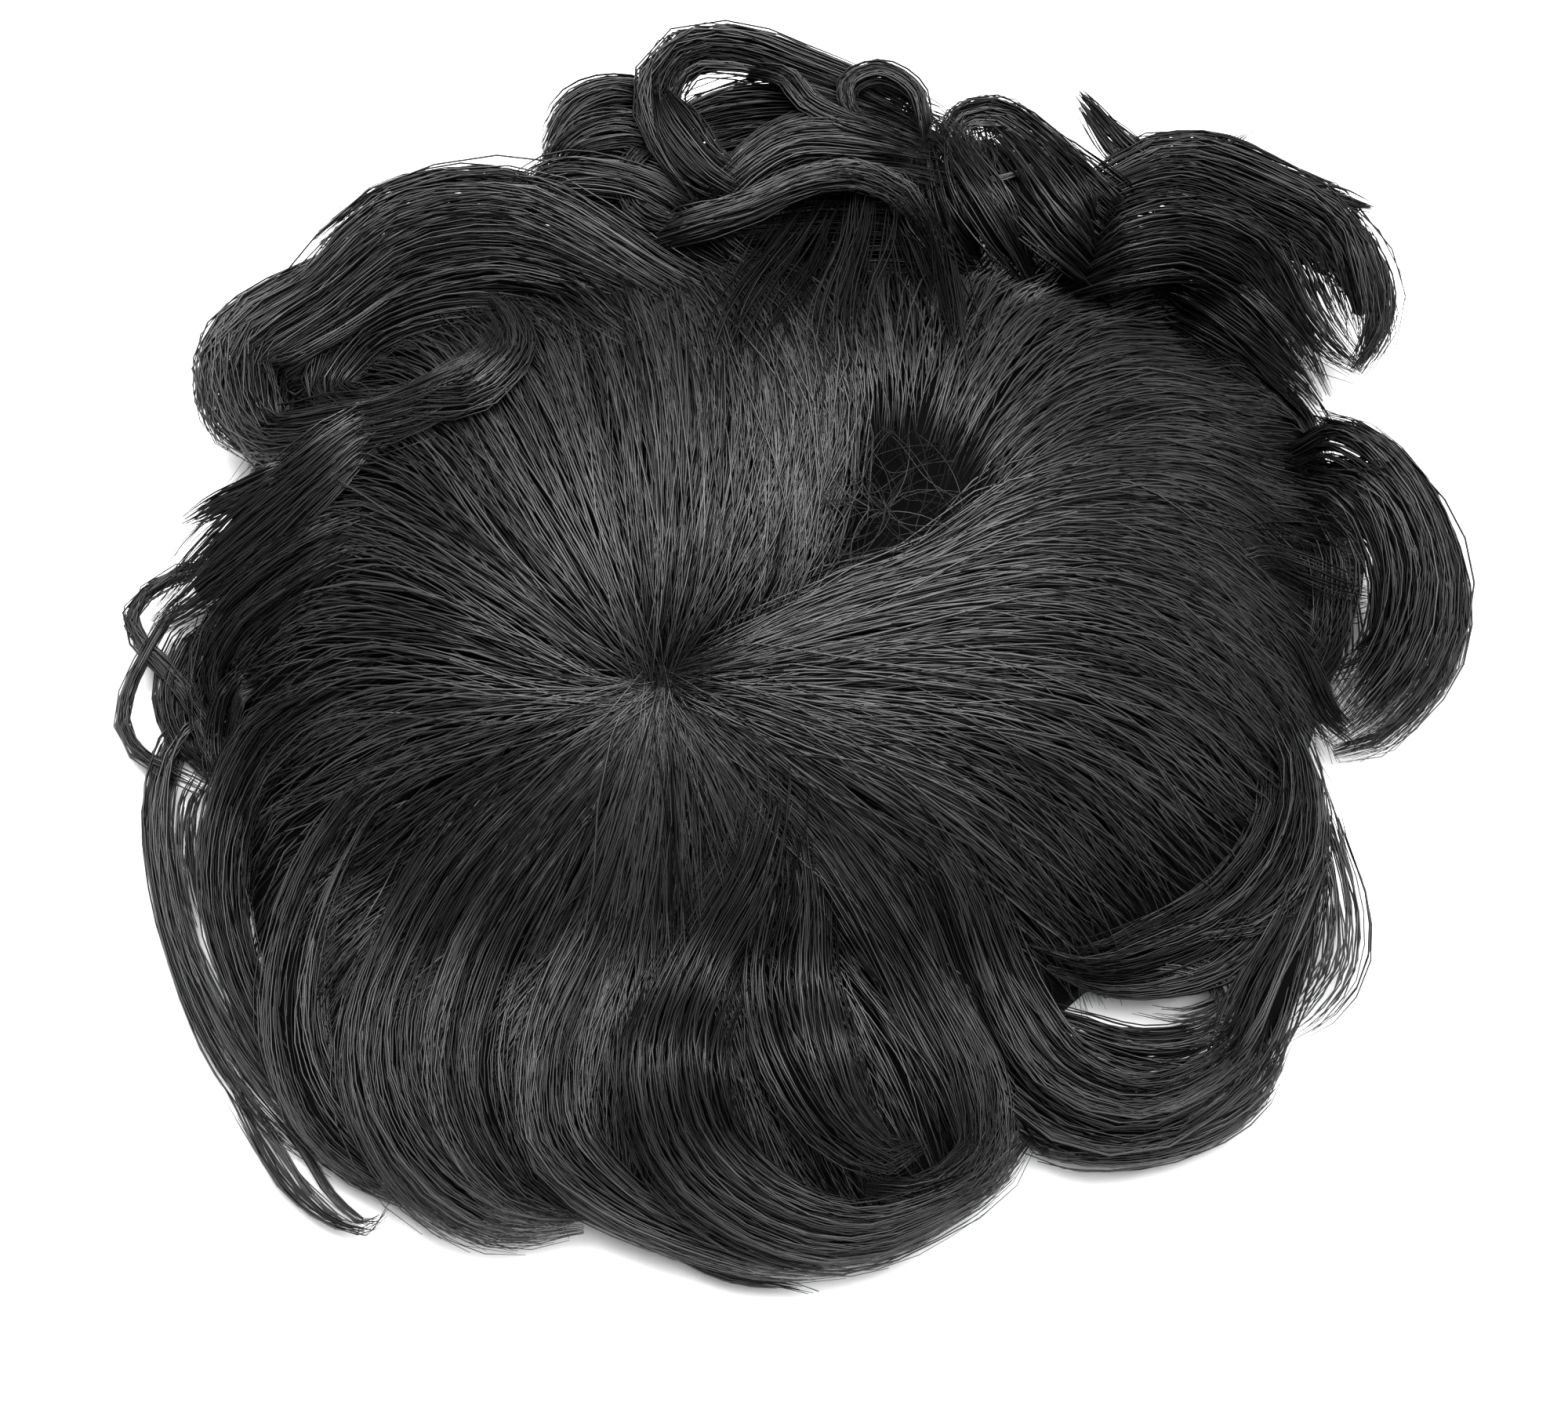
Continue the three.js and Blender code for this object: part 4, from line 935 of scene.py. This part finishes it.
for name, tresses in LOCKS:
    lines = [lock_line(points) for count, tone, points in tresses]
    made = [lock_hairs(count, tone, line) for (count, tone, points), line in zip(tresses, lines)]
    lock = hair_piece(f"{name}_hair", [paths for paths, tones in made], [tones for paths, tones in made])
    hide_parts(name)
    core_shape = bmesh.new()
    for (count, tone, points), line in zip(tresses, lines):
        if count >= CORE_HAIRS and line[:, 4].max() >= CORE_WIDTH:
            add_core(core_shape, line)
    if core_shape.verts:
        core_mesh = bpy.data.meshes.new(f"{name}_core")
        core_shape.to_mesh(core_mesh)
        smooth(core_mesh)
        core = mesh_piece(f"{name}_core", core_mesh, under)
    core_shape.free()

# Table and light. The patch lies on a plain white table under a large overhead softbox, with a
# small one behind it on the left and a weak, broad one in front on the right.
TABLE_HALF = 1.5
TABLE_COLOUR = "f2f2f2"
TABLE_ROUGHNESS = 0.6
# Softboxes: place and width in metres, and power in watts
SOFTBOXES = (
    ("overhead_softbox", (0.2, 0.2, 1.1), 1.3, 50.0),
    ("back_softbox", (-0.35, 0.3, 0.9), 0.4, 7.0),
    ("right_softbox", (0.4, -0.8, 0.9), 1.6, 5.0),
)
WORLD_COLOUR = "ffffff"
WORLD_STRENGTH = 0.3

table_top, table_output = new_material("white_laminate")
table_shader = add_node(
    table_top, "ShaderNodeBsdfPrincipled", Base_Color=linear(TABLE_COLOUR), Roughness=TABLE_ROUGHNESS,
)
table_top.node_tree.links.new(table_shader.outputs["BSDF"], table_output.inputs["Surface"])
table_shape = bmesh.new()
bmesh.ops.create_grid(table_shape, x_segments=1, y_segments=1, size=TABLE_HALF)
table_mesh = bpy.data.meshes.new("table")
table_shape.to_mesh(table_mesh)
table_shape.free()
table_mesh.materials.append(table_top)
table = bpy.data.objects.new("table", table_mesh)
bpy.context.collection.objects.link(table)

for name, place, size, power in SOFTBOXES:
    softbox_data = bpy.data.lights.new(name, "AREA")
    softbox_data.size = size
    softbox_data.energy = power
    softbox = bpy.data.objects.new(name, softbox_data)
    softbox.location = place
    softbox.rotation_euler = (-softbox.location).to_track_quat("-Z", "Y").to_euler()
    bpy.context.collection.objects.link(softbox)

world = bpy.data.worlds.new("studio")
world.use_nodes = True
background = world.node_tree.nodes["Background"]
background.inputs["Color"].default_value = linear(WORLD_COLOUR)
background.inputs["Strength"].default_value = WORLD_STRENGTH
bpy.context.scene.world = world
bpy.context.scene.view_settings.view_transform = "Standard"
